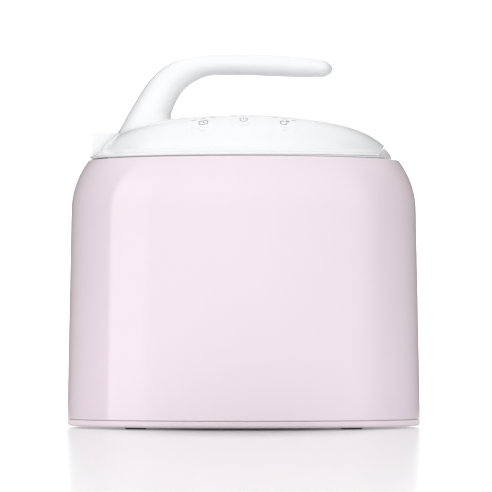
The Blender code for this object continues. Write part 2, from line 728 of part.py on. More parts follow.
def make_head_base(head, white, steel):
    outline = [(0.0, PLATE_BOTTOM), (PLATE_HALF, PLATE_BOTTOM), (PLATE_HALF, PLATE_TOP),
               (0.0, PLATE_TOP)]
    plate = piece("head_base", turned(outline, DEPTH_RATIO, FINE), white, head)
    cut(plate, box((PLATE_END, -0.10, 0.19), (0.13, 0.10, 0.21)))
    cut(plate, notch())
    join(plate, prism(arm_outline(), 1, -ARM_HALF, ARM_HALF))
    cut(plate, pin_cylinder(PIN_RADIUS + RUNNING_GAP, 0.011))
    cut(plate, cylinder(0.0065 + GAP, 0.19, 0.21, (0, 0), 24))
    for number, place in enumerate(boss_places(), 1):
        cut(plate, cylinder(SCREW_RADIUS + GAP, 0.19, 0.21, place))
        cut(plate, cylinder(SCREW_HEAD_RADIUS + GAP, 0.19, PLATE_BOTTOM + 0.0012, place))
        outline = [(0.0, PLATE_BOTTOM + 0.0002), (SCREW_HEAD_RADIUS, PLATE_BOTTOM + 0.0002),
                   (SCREW_HEAD_RADIUS, PLATE_BOTTOM + 0.0009), (SCREW_RADIUS, PLATE_BOTTOM + 0.0009),
                   (SCREW_RADIUS, 0.209), (0.0, 0.210)]
        piece(f"head_screw_{number}", turned(outline, 1.0, SMALL, place), steel, head)
    magnet = cylinder(0.005, PLATE_TOP + GAP, PLATE_TOP + 0.003, (0.086, 0.0))
    piece("catch_magnet", magnet, steel, head)


def arm_outline():
    knuckle = arc(PIN, KNUCKLE_RADIUS, math.pi / 2, 3 * math.pi / 2, 8)
    step = NOTCH_END - GAP
    return knuckle + [(-0.096, PLATE_BOTTOM), (-0.070, PLATE_BOTTOM), (-0.070, 0.208),
                      (-0.080, 0.2124), (step, 0.2124), (step, PIN[1] + KNUCKLE_RADIUS)]


def make_inner_cover(head, frosted, rubber):
    outline = [(0.0, COVER_BOTTOM), (FLANGE_INNER_HALF, COVER_BOTTOM),
               (FLANGE_INNER_HALF + 0.0004, FLANGE_BOTTOM), (FLANGE_HALF, FLANGE_BOTTOM),
               (FLANGE_HALF, COVER_TOP), (0.0, COVER_TOP)]
    cover = piece("inner_cover", turned(outline, DEPTH_RATIO, FINE), frosted, head)
    low = LIP_LOW - FLANGE_GAP
    right = 0.130
    outline = [(-right, low), (0.0, low), (right, low + SEAM_SLOPE * right), (right, 0.220),
               (-right, 0.220)]
    over = link("over_flange", prism(outline, 1, -0.10, 0.10))
    ring = [(PLATE_HALF, 0.190), (right, 0.190), (right, 0.210), (PLATE_HALF, 0.210)]
    tool(over, turned(ring, DEPTH_RATIO, FINE), "INTERSECT")
    combine_object(cover, over, "DIFFERENCE")
    cut(cover, box((-0.13, -0.10, 0.19), (FLANGE_START, 0.10, COVER_BOTTOM + 0.0003)))
    cut(cover, box((COVER_END, -0.10, 0.19), (0.13, 0.10, 0.21)))
    cut(cover, notch())
    cut(cover, cylinder(0.008, 0.19, 0.21, (0, 0), 24))
    inner = SKIRT_RADIUS - 0.0015
    outline = [(inner, SKIRT_BOTTOM), (SKIRT_RADIUS, SKIRT_BOTTOM),
               (SKIRT_RADIUS, COVER_BOTTOM + 0.0005), (inner, COVER_BOTTOM + 0.0005)]
    join(cover, turned(outline, 1.0, 48))
    tab = link("cover_tab", prism(tab_outline(), 1, -TAB_HALF_DEPTH, TAB_HALF_DEPTH))
    limit = [(0.0, 0.19), (TAB_HALF, 0.19), (TAB_HALF, 0.21), (0.0, 0.21)]
    tool(tab, turned(limit, DEPTH_RATIO, FINE), "INTERSECT")
    combine_object(cover, tab, "UNION")
    outline = [(SHAFT_RADIUS + GAP, COVER_BOTTOM), (0.0077, COVER_BOTTOM), (0.0077, COVER_TOP),
               (SHAFT_RADIUS + GAP, COVER_TOP)]
    piece("shaft_seal", turned(outline, 1.0, 24), rubber, head)


def combine_object(item, helper, operation):
    helper.hide_render = True
    helper.display_type = "WIRE"
    boolean = item.modifiers.new(helper.name, "BOOLEAN")
    boolean.operation = operation
    boolean.solver = "EXACT"
    boolean.object = helper


def tab_outline():
    """The cover's raised end, which follows the slanted end of the dome."""
    slope = (END_TOP[0] - END_LOW[0]) / (END_TOP[1] - END_LOW[1])
    clear = 0.0005
    foot = END_LOW[0] + slope * (COVER_TOP - END_LOW[1]) + clear
    head = END_LOW[0] + slope * (0.2038 - END_LOW[1]) + clear
    low = COVER_BOTTOM + 0.0001
    high = COVER_TOP - 0.0001
    return [(0.0960, low), (TAB_HALF, low), (0.1078, 0.1992), (0.1063, 0.2011),
            (0.1048, 0.2027), (0.1033, 0.2039), (head, 0.2041), (foot, high), (0.0960, high)]


# ---------------------------------------------------------------- drive

def involute(angle):
    return math.tan(angle) - angle


def gear_outline(teeth, module, centre, first_tooth):
    pitch = module * teeth / 2
    base = pitch * math.cos(PRESSURE_ANGLE)
    root = pitch - ROOT_DEPTH * module
    tip = pitch + TIP_HEIGHT * module
    start = max(base, root)
    half = math.pi / (2 * teeth) - BACKLASH / (2 * pitch) + involute(PRESSURE_ANGLE)
    flank = [(root, half - involute(math.acos(base / start)))]
    for radius in (start, (start + tip) / 2, tip):
        turn = half - involute(math.acos(min(1.0, base / radius)))
        if radius > root:
            flank.append((radius, turn))
    points = []
    for tooth in range(teeth):
        middle = first_tooth + 2 * math.pi * tooth / teeth
        sides = [(radius, middle - turn) for radius, turn in flank]
        sides += [(radius, middle + turn) for radius, turn in reversed(flank)]
        for radius, angle in sides:
            points.append((centre[0] + radius * math.cos(angle), centre[1] + radius * math.sin(angle)))
    return points


def along(direction, distance, start=(0.0, 0.0)):
    return (start[0] + distance * math.cos(direction), start[1] + distance * math.sin(direction))


def idler_place():
    return along(IDLER_DIRECTION, CENTRES_2)


def motor_place():
    return along(MOTOR_DIRECTION, CENTRES_1, idler_place())


def make_output(spin, plastic, steel):
    half_tooth = math.pi / WHEEL_TEETH
    outline = gear_outline(WHEEL_TEETH, MODULE_2, (0, 0), IDLER_DIRECTION + half_tooth)
    gear = piece("output_gear", prism(outline, 2, *STAGE_2), plastic, spin)
    cut(gear, cylinder(SHAFT_RADIUS + GAP, 0.20, 0.22, (0, 0), 24))
    shaft = [(0.0, SHAFT_LOW), (SHAFT_RADIUS, SHAFT_LOW), (SHAFT_RADIUS, STAGE_2[1] + 0.0004),
             (JOURNAL_RADIUS, STAGE_2[1] + 0.0004), (JOURNAL_RADIUS, BRIDGE[1]), (0.0, BRIDGE[1])]
    piece("output_shaft", turned(shaft, 1.0, 24), steel, spin)
    outline = [(0.0, 0.1840), (0.009, 0.1840), (0.010, 0.1850), (0.010, 0.1885), (0.0075, 0.1900),
               (0.0075, 0.1935), (SHAFT_RADIUS + GAP, 0.1935), (SHAFT_RADIUS + GAP, SHAFT_LOW - GAP),
               (0.0, SHAFT_LOW - GAP)]
    coupler = piece("drive_coupler", turned(outline, 1.0, 24), plastic, spin)
    join(coupler, box((-0.007, -0.002, 0.1793), (0.007, 0.002, 0.1845)))


def make_idler(spin, plastic):
    place = idler_place()
    outline = gear_outline(WHEEL_TEETH, MODULE_1, place, MOTOR_DIRECTION)
    gear = piece("idler_gear", prism(outline, 2, *STAGE_1), plastic, spin)
    join(gear, cylinder(0.0052, STAGE_1[1] - 0.001, STAGE_2[0] + 0.001, place, 24))
    outline = gear_outline(PINION_TEETH, MODULE_2, place, IDLER_DIRECTION + math.pi)
    join(gear, prism(outline, 2, *STAGE_2))
    cut(gear, cylinder(IDLER_PIN_RADIUS + RUNNING_GAP, 0.195, 0.215, place))


def make_motor(head, spin, black, copper, brass, steel):
    place = motor_place()
    half_tooth = math.pi / PINION_TEETH
    outline = gear_outline(PINION_TEETH, MODULE_1, place, MOTOR_DIRECTION + math.pi + half_tooth)
    pinion = piece("motor_pinion", prism(outline, 2, *STAGE_1), brass, spin)
    cut(pinion, cylinder(MOTOR_SHAFT_RADIUS + GAP, 0.19, 0.22, place))
    radius, low, high = ROTOR
    outline = [(0.0, 0.2006), (MOTOR_SHAFT_RADIUS, 0.2006), (MOTOR_SHAFT_RADIUS, low),
               (radius, low), (radius, high), (0.0, high)]
    piece("motor_rotor", turned(outline, 1.0, 24, place), steel, spin)
    radius, low, high = MOTOR_CAN
    inner = ROTOR[0] + 0.0007
    outline = [(0.0032, low), (radius - 0.001, low), (radius, low + 0.001), (radius, high - 0.001),
               (radius - 0.001, high), (0.0, high), (0.0, ROTOR[2] + 0.0007),
               (inner, ROTOR[2] + 0.0007), (inner, low + 0.0014), (0.0032, low + 0.0014)]
    piece("motor_stator", turned(outline, 1.0, 24, place), copper, head)


def make_gearbox_frame(head, grey, steel, brass):
    idler = idler_place()
    outline = rounded_rectangle(0.076, 0.076, 0.020, 4)
    bridge = piece("gear_bridge", prism(outline, 2, *BRIDGE), grey, head)
    for place in ((-0.031, -0.031), (-0.031, 0.031), (0.0315, -0.0315)):
        join(bridge, cylinder(0.0035, PLATE_TOP + GAP, BRIDGE[0] + 0.001, place))
    cut(bridge, cylinder(JOURNAL_RADIUS + RUNNING_GAP, 0.20, 0.22, (0, 0), 24))
    cut(bridge, cylinder(IDLER_PIN_RADIUS + GAP, 0.20, 0.22, idler))
    cut(bridge, cylinder(MOTOR_CAN[0] + 0.001, 0.20, 0.22, motor_place(), 24))
    pin = cylinder(IDLER_PIN_RADIUS, PLATE_TOP + GAP, BRIDGE[1], idler)
    piece("idler_pin", pin, steel, head)
    outline = [(SHAFT_RADIUS + RUNNING_GAP, PLATE_BOTTOM), (0.0065, PLATE_BOTTOM),
               (0.0065, STAGE_1[1]), (SHAFT_RADIUS + RUNNING_GAP, STAGE_1[1])]
    piece("output_bush", turned(outline, 1.0, 24), brass, head)


# ---------------------------------------------------------------- controls

def key_block(grow, low, high):
    outline = rounded_rectangle(KEY_SIZE[0] + 2 * grow, KEY_SIZE[1] + 2 * grow, 0.003, 3)
    return prism(outline, 2, low, high)


def light_block(grow, low, high):
    half_x = LIGHT_SIZE[0] / 2 + grow
    half_y = LIGHT_SIZE[1] / 2 + grow
    return box((-half_x, -half_y, low), (half_x, half_y, high))


def make_controls(head, white, clear, board, black):
    deep = -BOARD_DEPTH
    frame = surface_frame(0.0, KEY_Y)
    size_x, size_y, size_z = BOARD_SIZE
    plate = box((-size_x / 2, -size_y / 2, deep - size_z), (size_x / 2, size_y / 2, deep))
    piece("control_board", moved(plate, frame), board, head)
    half_x, half_y, height = (SWITCH_SIZE[0] / 2, SWITCH_SIZE[1] / 2, SWITCH_SIZE[2])
    for name, x in zip(KEY_NAMES, KEY_PLACES):
        surface = surface_frame(x, KEY_Y)
        travel = axis_empty(f"key_{name}_travel", surface.translation, head)
        travel["place"] = surface.translation
        key = piece(f"key_{name}", moved(key_block(0.0, -KEY_THICKNESS, 0.008), surface), white,
                    travel)
        tool(key, dome(0.0, 0.19, DOME_HALF), "INTERSECT")
        stem_low = deep + 2 * GAP + height + KEY_TRAVEL + sag(x)
        join(key, moved(cylinder(0.002, stem_low, -KEY_THICKNESS + 0.0005, (0, 0)), surface))
        foot = Matrix.Translation((x, 0.0, 0.0))
        low = deep + GAP
        switch = box((-half_x, -half_y, low), (half_x, half_y, low + height))
        piece(f"switch_{name}", moved(switch, frame @ foot), black, head)
        make_light(head, name, x, clear)


def sag(x):
    """How far the surface at one x lies below the control board's own plane, with its tilt."""
    frame = surface_frame(0.0, KEY_Y)
    place, normal = surface_point(x, KEY_Y)
    return -(frame.inverted() @ place).z + 0.0004 + TILT_REACH * abs(normal.x)


def make_light(head, name, x, clear):
    surface = surface_frame(x, LIGHT_Y)
    half_x, half_y, bottom, top = LIGHT_BAR
    bar = box((-half_x, -half_y, bottom), (half_x, half_y, top))
    guide = piece(f"light_{name}", moved(bar, surface), clear, head)
    for step in (-1, 0, 1):
        frame = surface_frame(x + step * LIGHT_SPACING, LIGHT_Y)
        join(guide, moved(light_block(0.0, top - 0.0012, -0.0001), frame))


# ---------------------------------------------------------------- assembly

def build():
    clear_scene()
    pink = paint("pink_gloss", (0.84, 0.71, 0.78), 0.18)
    white = paint("white_gloss", (0.90, 0.91, 0.92), 0.16)
    grip = paint("white_satin", (0.86, 0.87, 0.88), 0.4)
    frosted = paint("frosted", (0.88, 0.90, 0.90), 0.35, 0.0, 0.6)
    clear = paint("light_guide", (0.55, 0.58, 0.60), 0.25)
    rubber = paint("grey_rubber", (0.18, 0.18, 0.19), 0.8)
    silicone = paint("silicone", (0.80, 0.79, 0.80), 0.6)
    foam = paint("foam", (0.85, 0.84, 0.80), 0.9)
    gel = paint("coolant", (0.35, 0.55, 0.75), 0.4)
    aluminium = paint("aluminium", (0.78, 0.79, 0.80), 0.35, 1.0)
    steel = paint("steel", (0.62, 0.63, 0.65), 0.3, 1.0)
    brass = paint("brass", (0.75, 0.60, 0.32), 0.3, 1.0)
    copper = paint("copper", (0.60, 0.35, 0.22), 0.5, 0.5)
    board = paint("board", (0.05, 0.25, 0.12), 0.5)
    black = paint("black", (0.03, 0.03, 0.03), 0.4)
    grey = paint("grey_plastic", (0.45, 0.46, 0.48), 0.5)
    acetal = paint("acetal", (0.92, 0.92, 0.90), 0.35)

    head = axis_empty("head_hinge_axis", (PIN[0], 0.0, PIN[1]))
    head["place"] = (PIN[0], 0.0, PIN[1])
    paddle = axis_empty("paddle_axis", (0.0, 0.0, 0.0))
    paddle["place"] = (0.0, 0.0, 0.0)
    output = axis_empty("output_axis", (0.0, 0.0, STAGE_2[0]), head)
    idler = axis_empty("idler_axis", (*idler_place(), STAGE_1[0]), head)
    motor = axis_empty("motor_axis", (*motor_place(), STAGE_1[0]), head)

    make_outer_shell(pink)
    make_tray(pink, rubber, steel)
    make_deck(white, steel)
    make_well(white, foam, rubber)
    make_bowl(white, aluminium, gel, rubber)
    make_electrics(black, board, copper, brass, black)
    piece("hinge_pin", pin_cylinder(PIN_RADIUS, PIN_HALF_LENGTH), steel)
    make_paddle(paddle, acetal, silicone)
    make_head_shell(head, white, grip)
    make_head_base(head, white, steel)
    make_inner_cover(head, frosted, rubber)
    make_output(output, acetal, steel)
    make_idler(idler, acetal)
    make_motor(head, motor, black, copper, brass, steel)
    make_gearbox_frame(head, grey, steel, brass)
    make_controls(head, white, clear, board, black)


build()
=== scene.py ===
"""The looks of the ice cream maker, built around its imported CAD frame.

Metres, +Z up, front towards -Y, as in the frame. Each shell that shows is made again here with a
fine surface and replaces its coarse CAD node; the pieces inside keep their CAD shape.
"""
import math

import bmesh
import bpy
from mathutils import Matrix, Vector
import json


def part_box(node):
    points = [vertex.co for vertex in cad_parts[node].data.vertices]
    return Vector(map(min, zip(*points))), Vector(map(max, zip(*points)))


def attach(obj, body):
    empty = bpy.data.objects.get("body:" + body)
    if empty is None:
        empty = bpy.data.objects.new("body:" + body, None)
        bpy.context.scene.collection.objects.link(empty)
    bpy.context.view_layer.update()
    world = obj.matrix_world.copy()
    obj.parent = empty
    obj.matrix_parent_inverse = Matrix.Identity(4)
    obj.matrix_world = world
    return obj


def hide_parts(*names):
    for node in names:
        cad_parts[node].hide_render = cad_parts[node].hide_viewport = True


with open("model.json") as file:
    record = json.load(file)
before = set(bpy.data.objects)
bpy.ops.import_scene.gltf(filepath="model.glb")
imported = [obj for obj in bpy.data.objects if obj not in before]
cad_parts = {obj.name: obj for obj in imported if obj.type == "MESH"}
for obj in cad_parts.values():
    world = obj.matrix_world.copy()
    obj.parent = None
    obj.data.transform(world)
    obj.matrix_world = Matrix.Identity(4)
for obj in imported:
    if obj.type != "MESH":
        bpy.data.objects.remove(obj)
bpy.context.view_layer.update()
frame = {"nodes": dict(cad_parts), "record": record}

# Sizes read from the frame
SHELL_LOW, SHELL_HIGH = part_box("outer_shell")
TRAY_LOW, TRAY_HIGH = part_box("base_tray")
BOWL_LOW, BOWL_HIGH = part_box("bowl_outer")
WELL_LOW, WELL_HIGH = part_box("bowl_well")
RIM_LOW, RIM_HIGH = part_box("bowl_rim_seal")
INLET_LOW, INLET_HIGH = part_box("power_inlet")
INSERT_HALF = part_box("handle_insert")[1][1]
PADDLE_LOW, PADDLE_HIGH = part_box("paddle")
SKIRT_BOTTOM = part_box("inner_cover")[0][2]

DEPTH_RATIO = SHELL_HIGH[1] / SHELL_HIGH[0]
FOOT_HALF = SHELL_HIGH[0]
SHELL_BOTTOM = SHELL_LOW[2]
RIM_TOP = SHELL_HIGH[2]
GAP = 0.0003
WALL = 0.0025

# Shell and deck, as in the CAD
SHOULDER_HALF = 0.1269
SHOULDER_START = 0.160
SHOULDER_RADIUS = 0.062
RIM_INNER_HALF = 0.1105
RIM_UNDER = 0.1933
DECK_TOP = 0.1953
DECK_LEDGE = 0.1930
DECK_BOTTOM = 0.1907
DECK_FLANGE_HALF = 0.1135
DECK_HOLE_RADIUS = 0.0775

# Base band and screws, as in the CAD
TRAY_FLOOR = 0.0045
TRAY_SHOULDER = 0.0062
TRAY_LIP_HALF = 0.1270
TRAY_LIP_THICKNESS = 0.0025
TRAY_LIP_TOP = 0.0090
SCREW_HOLE = 0.0018
SCREW_SEAT = 0.0034          # height of the recess for a tray screw's head
SCREW_SHANK = 0.0015
THREAD_PITCH = 0.0011
THREAD_DEPTH = 0.0003

# Bowl, well and paddle, as in the CAD
WELL_RADIUS = 0.0765
WELL_WALL = 0.002
BOWL_SKIN = 0.0012
BOWL_FLOOR = 0.060
PADDLE_TOP = 0.168
PADDLE_THICKNESS = 0.005
PADDLE_CORNER = 0.0065
WINDOW_COLUMNS = ((0.0100, 0.0300), (0.0350, 0.0555))
WINDOW_ROWS = ((0.0680, 0.1120), (0.1180, 0.1620))
HUB_RADIUS = 0.010
HUB_TOP = 0.1825
SLOT_FLOOR = 0.1787
SLOT_HALF_WIDTH = 0.003
PIVOT_BORE = 0.00415

# Reach of the cutters past what they cut
OUTSIDE = 0.13
DEEP = 0.11
UNDER_TRAY = -0.001
UNDER_HEAD = 0.185
OVER_HEAD = 0.235
KEY_CUT = 0.008

# Dome, as in the CAD, but with a finer gap under its lip
DOME_HALF = 0.1070
DOME_CROWN = 0.0300
DOME_BASE = 0.1982
DOME_FILLET = 0.038
FILLET_POWER = 2.4
PROFILE_POWER = 2.2
LIP_HALF = 0.1142
LIP_INNER_HALF = 0.1030
LIP_LOW = 0.1969
LIP_EDGE_TOP = 0.1990
SEAM_SLOPE = 0.010
END_TOP = (0.1038, 0.2072)
END_LOW = (0.0976, 0.1982)
END_SLOPE = (END_TOP[0] - END_LOW[0]) / (END_TOP[1] - END_LOW[1])
CAVITY_END = 0.0948

# Plates under the dome, as in the CAD, but with a flange that reaches further out
PLATE_BOTTOM = 0.1984
PLATE_TOP = 0.2006
PLATE_HALF = 0.1028
PLATE_END = 0.0944
COVER_TOP = 0.1981
COVER_BOTTOM = 0.1970
COVER_END = 0.0977
FLANGE_BOTTOM = 0.1965
FLANGE_HALF = 0.1138
FLANGE_INNER_HALF = 0.1000
FLANGE_GAP = 0.0002
FLANGE_START = -0.0985
PASSAGE = (0.0935, 0.0395)
TAB_HALF = 0.1090
TAB_HALF_DEPTH = 0.0385
SKIRT_RADIUS = 0.0623
SKIRT_THICKNESS = 0.0015
SHAFT_HOLE = 0.0068
SEAL_HOLE = 0.008

# Hinge, as in the CAD
PIN = (-0.107, 0.2125)
KNUCKLE_RADIUS = 0.0043
CHEEK_Y = (0.0095, 0.0130)
ARM_HALF = 0.0092
NOTCH_HALF = 0.0143
NOTCH_END = -0.089
NOTCH_TOP = 0.2171
PIN_BORE = 0.00165

# Controls, as in the CAD
KEY_PLACES = {"timer": -0.0291, "power": 0.0, "mode": 0.0294}
KEY_Y = -0.0738
KEY_SIZE = (0.0170, 0.0135)
KEY_CORNER = 0.003
KEY_THICKNESS = 0.0022
KEY_GAP = 0.00003            # finer than in the CAD
PRINT_LEVEL = 0.00004
ICON_Y = {"timer": 0.0046, "power": 0.0033, "mode": 0.0046}
CAPTION_HALVES = {"timer": (0.0041, 0.0023), "power": (0.0050, 0.0036), "mode": (0.0028, 0.0018)}
LIGHT_Y = -0.0645
LIGHT_SPACING = 0.0068
LIGHT_SIZE = (0.0036, 0.0014)

# Handle: outer point, inner point (x, z) and width of each section, from the root to the tip
HANDLE_SECTIONS = (
    ((-0.0851, 0.2309), (-0.0533, 0.2311), 0.0400),
    ((-0.0795, 0.2403), (-0.0506, 0.2378), 0.0372),
    ((-0.0732, 0.2505), (-0.0464, 0.2449), 0.0343),
    ((-0.0650, 0.2603), (-0.0412, 0.2507), 0.0316),
    ((-0.0542, 0.2683), (-0.0350, 0.2549), 0.0294),
    ((-0.0410, 0.2731), (-0.0280, 0.2580), 0.0278),
    ((-0.0240, 0.2752), (-0.0180, 0.2593), 0.0268),
    ((0.0000, 0.2757), (0.0010, 0.2595), 0.0262),
    ((0.0296, 0.2747), (0.0296, 0.2585), 0.0258),
    ((0.0473, 0.2729), (0.0468, 0.2578), 0.0250),
    ((0.0555, 0.2713), (0.0545, 0.2578), 0.0234),
)
HANDLE_TIP = 0.0103          # reach of the rounded end past the last section
HANDLE_ROUNDNESS = 0.86      # below 1 is squarer than an ellipse
ROOT_ROUNDNESS = 0.9
ROOT_HALF = (0.0240, 0.0265)   # plan of the root where it meets the dome
ROOT_CENTRE = -0.0745

# Light tent: share of a full turn from the back, and the brightness there
TENT_PANELS = ((0.0, 0.08), (0.255, 0.08), (0.262, 0.96), (0.343, 0.96), (0.349, 0.70),
               (0.69, 0.72), (0.755, 0.08), (1.0, 0.08))
TENT_TOP = 0.40
TENT_RISE = (0.30, 0.85)       # heights between which the panels pass into the top
TENT_STRENGTH = 2.30

# Floor and backdrop: each pair is where a change begins and where it is complete
FLOOR_HALF = 4.0
BACKDROP_HALF = 0.45
FLOOR_PAINTED_SHADOW = (0.030, 0.125)   # painted shadow: floor colour and glow dimmer near the object, by distance after the stretch
FLOOR_PAINTED_SHADOW_STRETCH = (1.0, 0.35, 0.0)
FLOOR_PAINTED_LIGHT_ASIDE = (0.122, 0.150)   # painted light: more floor glow beside the object, by distance from x = 0
FLOOR_FADE = (0.22, 0.60)      # darker far out to the sides
FLOOR_PAINTED_GLOW = (0.02, 0.19, 0.36)   # painted glow of a floor that is no lamp: low below the object as painted shade, more in front of it, most beside it as painted light

OVAL_SIDES = 192
ROUND_SIDES = 128


# ---------------------------------------------------------------- mesh helpers

def finished(mesh):
    bmesh.ops.recalc_face_normals(mesh, faces=mesh.faces)
    return mesh


def turned(outline, ratio=1.0, sides=ROUND_SIDES, centre=(0.0, 0.0)):
    """Spin an outline of (radius, z) points about +Z; a third value is the ring's own ratio."""
    mesh = bmesh.new()
    rings = []
    for radius, z, *own_ratio in outline:
        squeeze = own_ratio[0] if own_ratio else ratio
        ring = []
        for step in range(sides if radius else 1):
            angle = 2 * math.pi * step / sides
            x = centre[0] + radius * math.cos(angle)
            y = centre[1] + radius * squeeze * math.sin(angle)
            ring.append(mesh.verts.new((x, y, z)))
        rings.append(ring)
    for low, high in zip(rings, rings[1:] + rings[:1]):
        if len(low) == 1 and len(high) == 1:
            continue
        for step in range(sides):
            after = (step + 1) % sides
            corners = [low[step % len(low)], low[after % len(low)],
                       high[after % len(high)], high[step % len(high)]]
            mesh.faces.new(list(dict.fromkeys(corners)))
    return finished(mesh)


def lofted(sections, capped=True):
    mesh = bmesh.new()
    rings = []
    for section in sections:
        rings.append([mesh.verts.new(point) for point in section])
    count = len(rings[0])
    for low, high in zip(rings, rings[1:]):
        for step in range(count):
            after = (step + 1) % count
            mesh.faces.new((low[step], low[after], high[after], high[step]))
    if capped:
        mesh.faces.new(rings[0])
        mesh.faces.new(list(reversed(rings[-1])))
    return finished(mesh)


def prism(outline, axis, low, high):
    sections = []
    for level in (low, high):
        section = []
        for first, second in outline:
            point = [first, second]
            point.insert(axis, level)
            section.append(tuple(point))
        sections.append(section)
    return lofted(sections)


def box(low, high):
    outline = [(low[0], low[1]), (high[0], low[1]), (high[0], high[1]), (low[0], high[1])]
    return prism(outline, 2, low[2], high[2])


def cylinder(radius, low, high, centre=(0.0, 0.0), sides=48):
    return turned([(0.0, low), (radius, low), (radius, high), (0.0, high)], 1.0, sides, centre)


def arc(centre, radius, start, end, steps):
    points = []
    for step in range(steps + 1):
        angle = start + (end - start) * step / steps
        points.append((centre[0] + radius * math.cos(angle), centre[1] + radius * math.sin(angle)))
    return points


def bend(start, corner, end, steps):
    """Curve from start to end that heads for a corner and turns before it."""
    start, corner, end = Vector(start), Vector(corner), Vector(end)
    points = []
    for step in range(steps + 1):
        part = step / steps
        point = start.lerp(corner, part).lerp(corner.lerp(end, part), part)
        points.append((point.x, point.y))
    return points


def rounded(outline, radius, steps=4):
    """Round every corner of a closed outline, as far as its sides allow."""
    points = []
    count = len(outline)
    for index in range(count):
        corner = Vector(outline[index])
        before = Vector(outline[index - 1]) - corner
        after = Vector(outline[(index + 1) % count]) - corner
        reach = min(radius, before.length * 0.45, after.length * 0.45)
        start = corner + before.normalized() * reach
        end = corner + after.normalized() * reach
        points += bend(start, corner, end, steps)
    return points


def rounded_rectangle(width, height, radius, steps=6):
    half_x = width / 2
    half_y = height / 2
    corners = [(half_x, half_y), (-half_x, half_y), (-half_x, -half_y), (half_x, -half_y)]
    return rounded(corners, radius, steps)


def subdivided_side(start, end, steps):
    points = []
    for step in range(steps + 1):
        part = step / steps
        points.append((start[0] + (end[0] - start[0]) * part, start[1] + (end[1] - start[1]) * part))
    return points


def moved(mesh, matrix):
    mesh.transform(matrix)
    return mesh


def link(name, mesh):
    data = bpy.data.meshes.new(name)
    mesh.to_mesh(data)
    mesh.free()
    item = bpy.data.objects.new(name, data)
    bpy.context.scene.collection.objects.link(item)
    return item


def plan(node):
    """Centre of a CAD node seen from above, and half its width."""
    low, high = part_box(node)
    return ((low[0] + high[0]) / 2, (low[1] + high[1]) / 2), (high[0] - low[0]) / 2


def combine(item, mesh, operation):
    """Cut or join a piece at once, and remove the tool."""
    helper = link("tool", mesh)
    boolean = item.modifiers.new("boolean", "BOOLEAN")
    boolean.operation = operation
    boolean.solver = "EXACT"
    boolean.object = helper
    apply_modifiers(item)
    data = helper.data
    bpy.data.objects.remove(helper)
    bpy.data.meshes.remove(data)


def cut(item, mesh):
    combine(item, mesh, "DIFFERENCE")


def join(item, mesh):
    combine(item, mesh, "UNION")


def merge(item, other, operation):
    """Join or cut a piece with another piece, which is then gone."""
    shape = bmesh.new()
    shape.from_mesh(other.data)
    combine(item, shape, operation)
    bpy.data.objects.remove(other)


def apply_modifiers(item):
    depsgraph = bpy.context.evaluated_depsgraph_get()
    data = bpy.data.meshes.new_from_object(item.evaluated_get(depsgraph))
    old = item.data
    item.modifiers.clear()
    item.data = data
    bpy.data.meshes.remove(old)


def bevel(item, width, segments=3, angle=40):
    modifier = item.modifiers.new("edges", "BEVEL")
    modifier.width = width
    modifier.segments = segments
    modifier.limit_method = "ANGLE"
    modifier.angle_limit = math.radians(angle)
    modifier.harden_normals = True
    apply_modifiers(item)


def settle(item, slot, body, *nodes, angle=35, material=None):
    """Give a finished piece its shading, material, body and the CAD nodes that it stands for."""
    if angle:
        item.data.shade_smooth()
        item.data.set_sharp_from_angle(angle=math.radians(angle))
    item.data.materials.clear()
    item.data.materials.append(MATERIALS[material or slot])
    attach(item, body)
    if nodes:
        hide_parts(*nodes)


# ---------------------------------------------------------------- materials

MATERIALS = {}               # by name, which is the slot's name for the CAD materials


def principled(name):
    material = bpy.data.materials.new(name)
    material.use_nodes = True
    tree = material.node_tree
    return material, tree, tree.nodes["Principled BSDF"]


def object_noise(tree, scale, detail=3.0, stretch=(1.0, 1.0, 1.0)):
    """Noise fixed to the object, which can be stretched along an axis."""
    place = tree.nodes.new("ShaderNodeTexCoord")
    mapping = tree.nodes.new("ShaderNodeMapping")
    mapping.inputs["Scale"].default_value = stretch
    noise = tree.nodes.new("ShaderNodeTexNoise")
    noise.inputs["Scale"].default_value = scale
    noise.inputs["Detail"].default_value = detail
    tree.links.new(place.outputs["Object"], mapping.inputs["Vector"])
    tree.links.new(mapping.outputs["Vector"], noise.inputs["Vector"])
    return noise.outputs["Fac"]


def feed(tree, value, socket):
    """Link an output of a node to a socket, or set the socket to a fixed value."""
    if isinstance(value, bpy.types.NodeSocket):
        tree.links.new(value, socket)
    else:
        socket.default_value = value


def computed(tree, kind, operation, *values):
    node = tree.nodes.new(kind)
    node.operation = operation
    for value, socket in zip(values, node.inputs):
        feed(tree, value, socket)
    return node.outputs


def ranged(tree, value, low=0.0, high=1.0, start=0.0, end=1.0, curve="LINEAR"):
    """A value that runs from low to high while its source runs from start to end."""
    remap = tree.nodes.new("ShaderNodeMapRange")
    remap.interpolation_type = curve
    remap.inputs["From Min"].default_value = start
    remap.inputs["From Max"].default_value = end
    remap.inputs["To Min"].default_value = low
    remap.inputs["To Max"].default_value = high
    tree.links.new(value, remap.inputs["Value"])
    return remap.outputs["Result"]


def faded(tree, value, start, end):
    return ranged(tree, value, start=start, end=end, curve="SMOOTHSTEP")


def mixed(tree, factor, first, second):
    """Mix of two colours; each is an output of a node, a triple or a grey level."""
    mix = tree.nodes.new("ShaderNodeMix")
    mix.data_type = "RGBA"
    tree.links.new(factor, mix.inputs["Factor"])
    for colour, side in ((first, "A"), (second, "B")):
        if isinstance(colour, float):
            colour = (colour, colour, colour)
        if isinstance(colour, tuple):
            colour = (*colour, 1.0)
        feed(tree, colour, mix.inputs[side])
    return mix.outputs["Result"]


def bumped(tree, shader, value, strength, distance):
    bump = tree.nodes.new("ShaderNodeBump")
    bump.inputs["Strength"].default_value = strength
    bump.inputs["Distance"].default_value = distance
    tree.links.new(value, bump.inputs["Height"])
    tree.links.new(bump.outputs["Normal"], shader.inputs["Normal"])


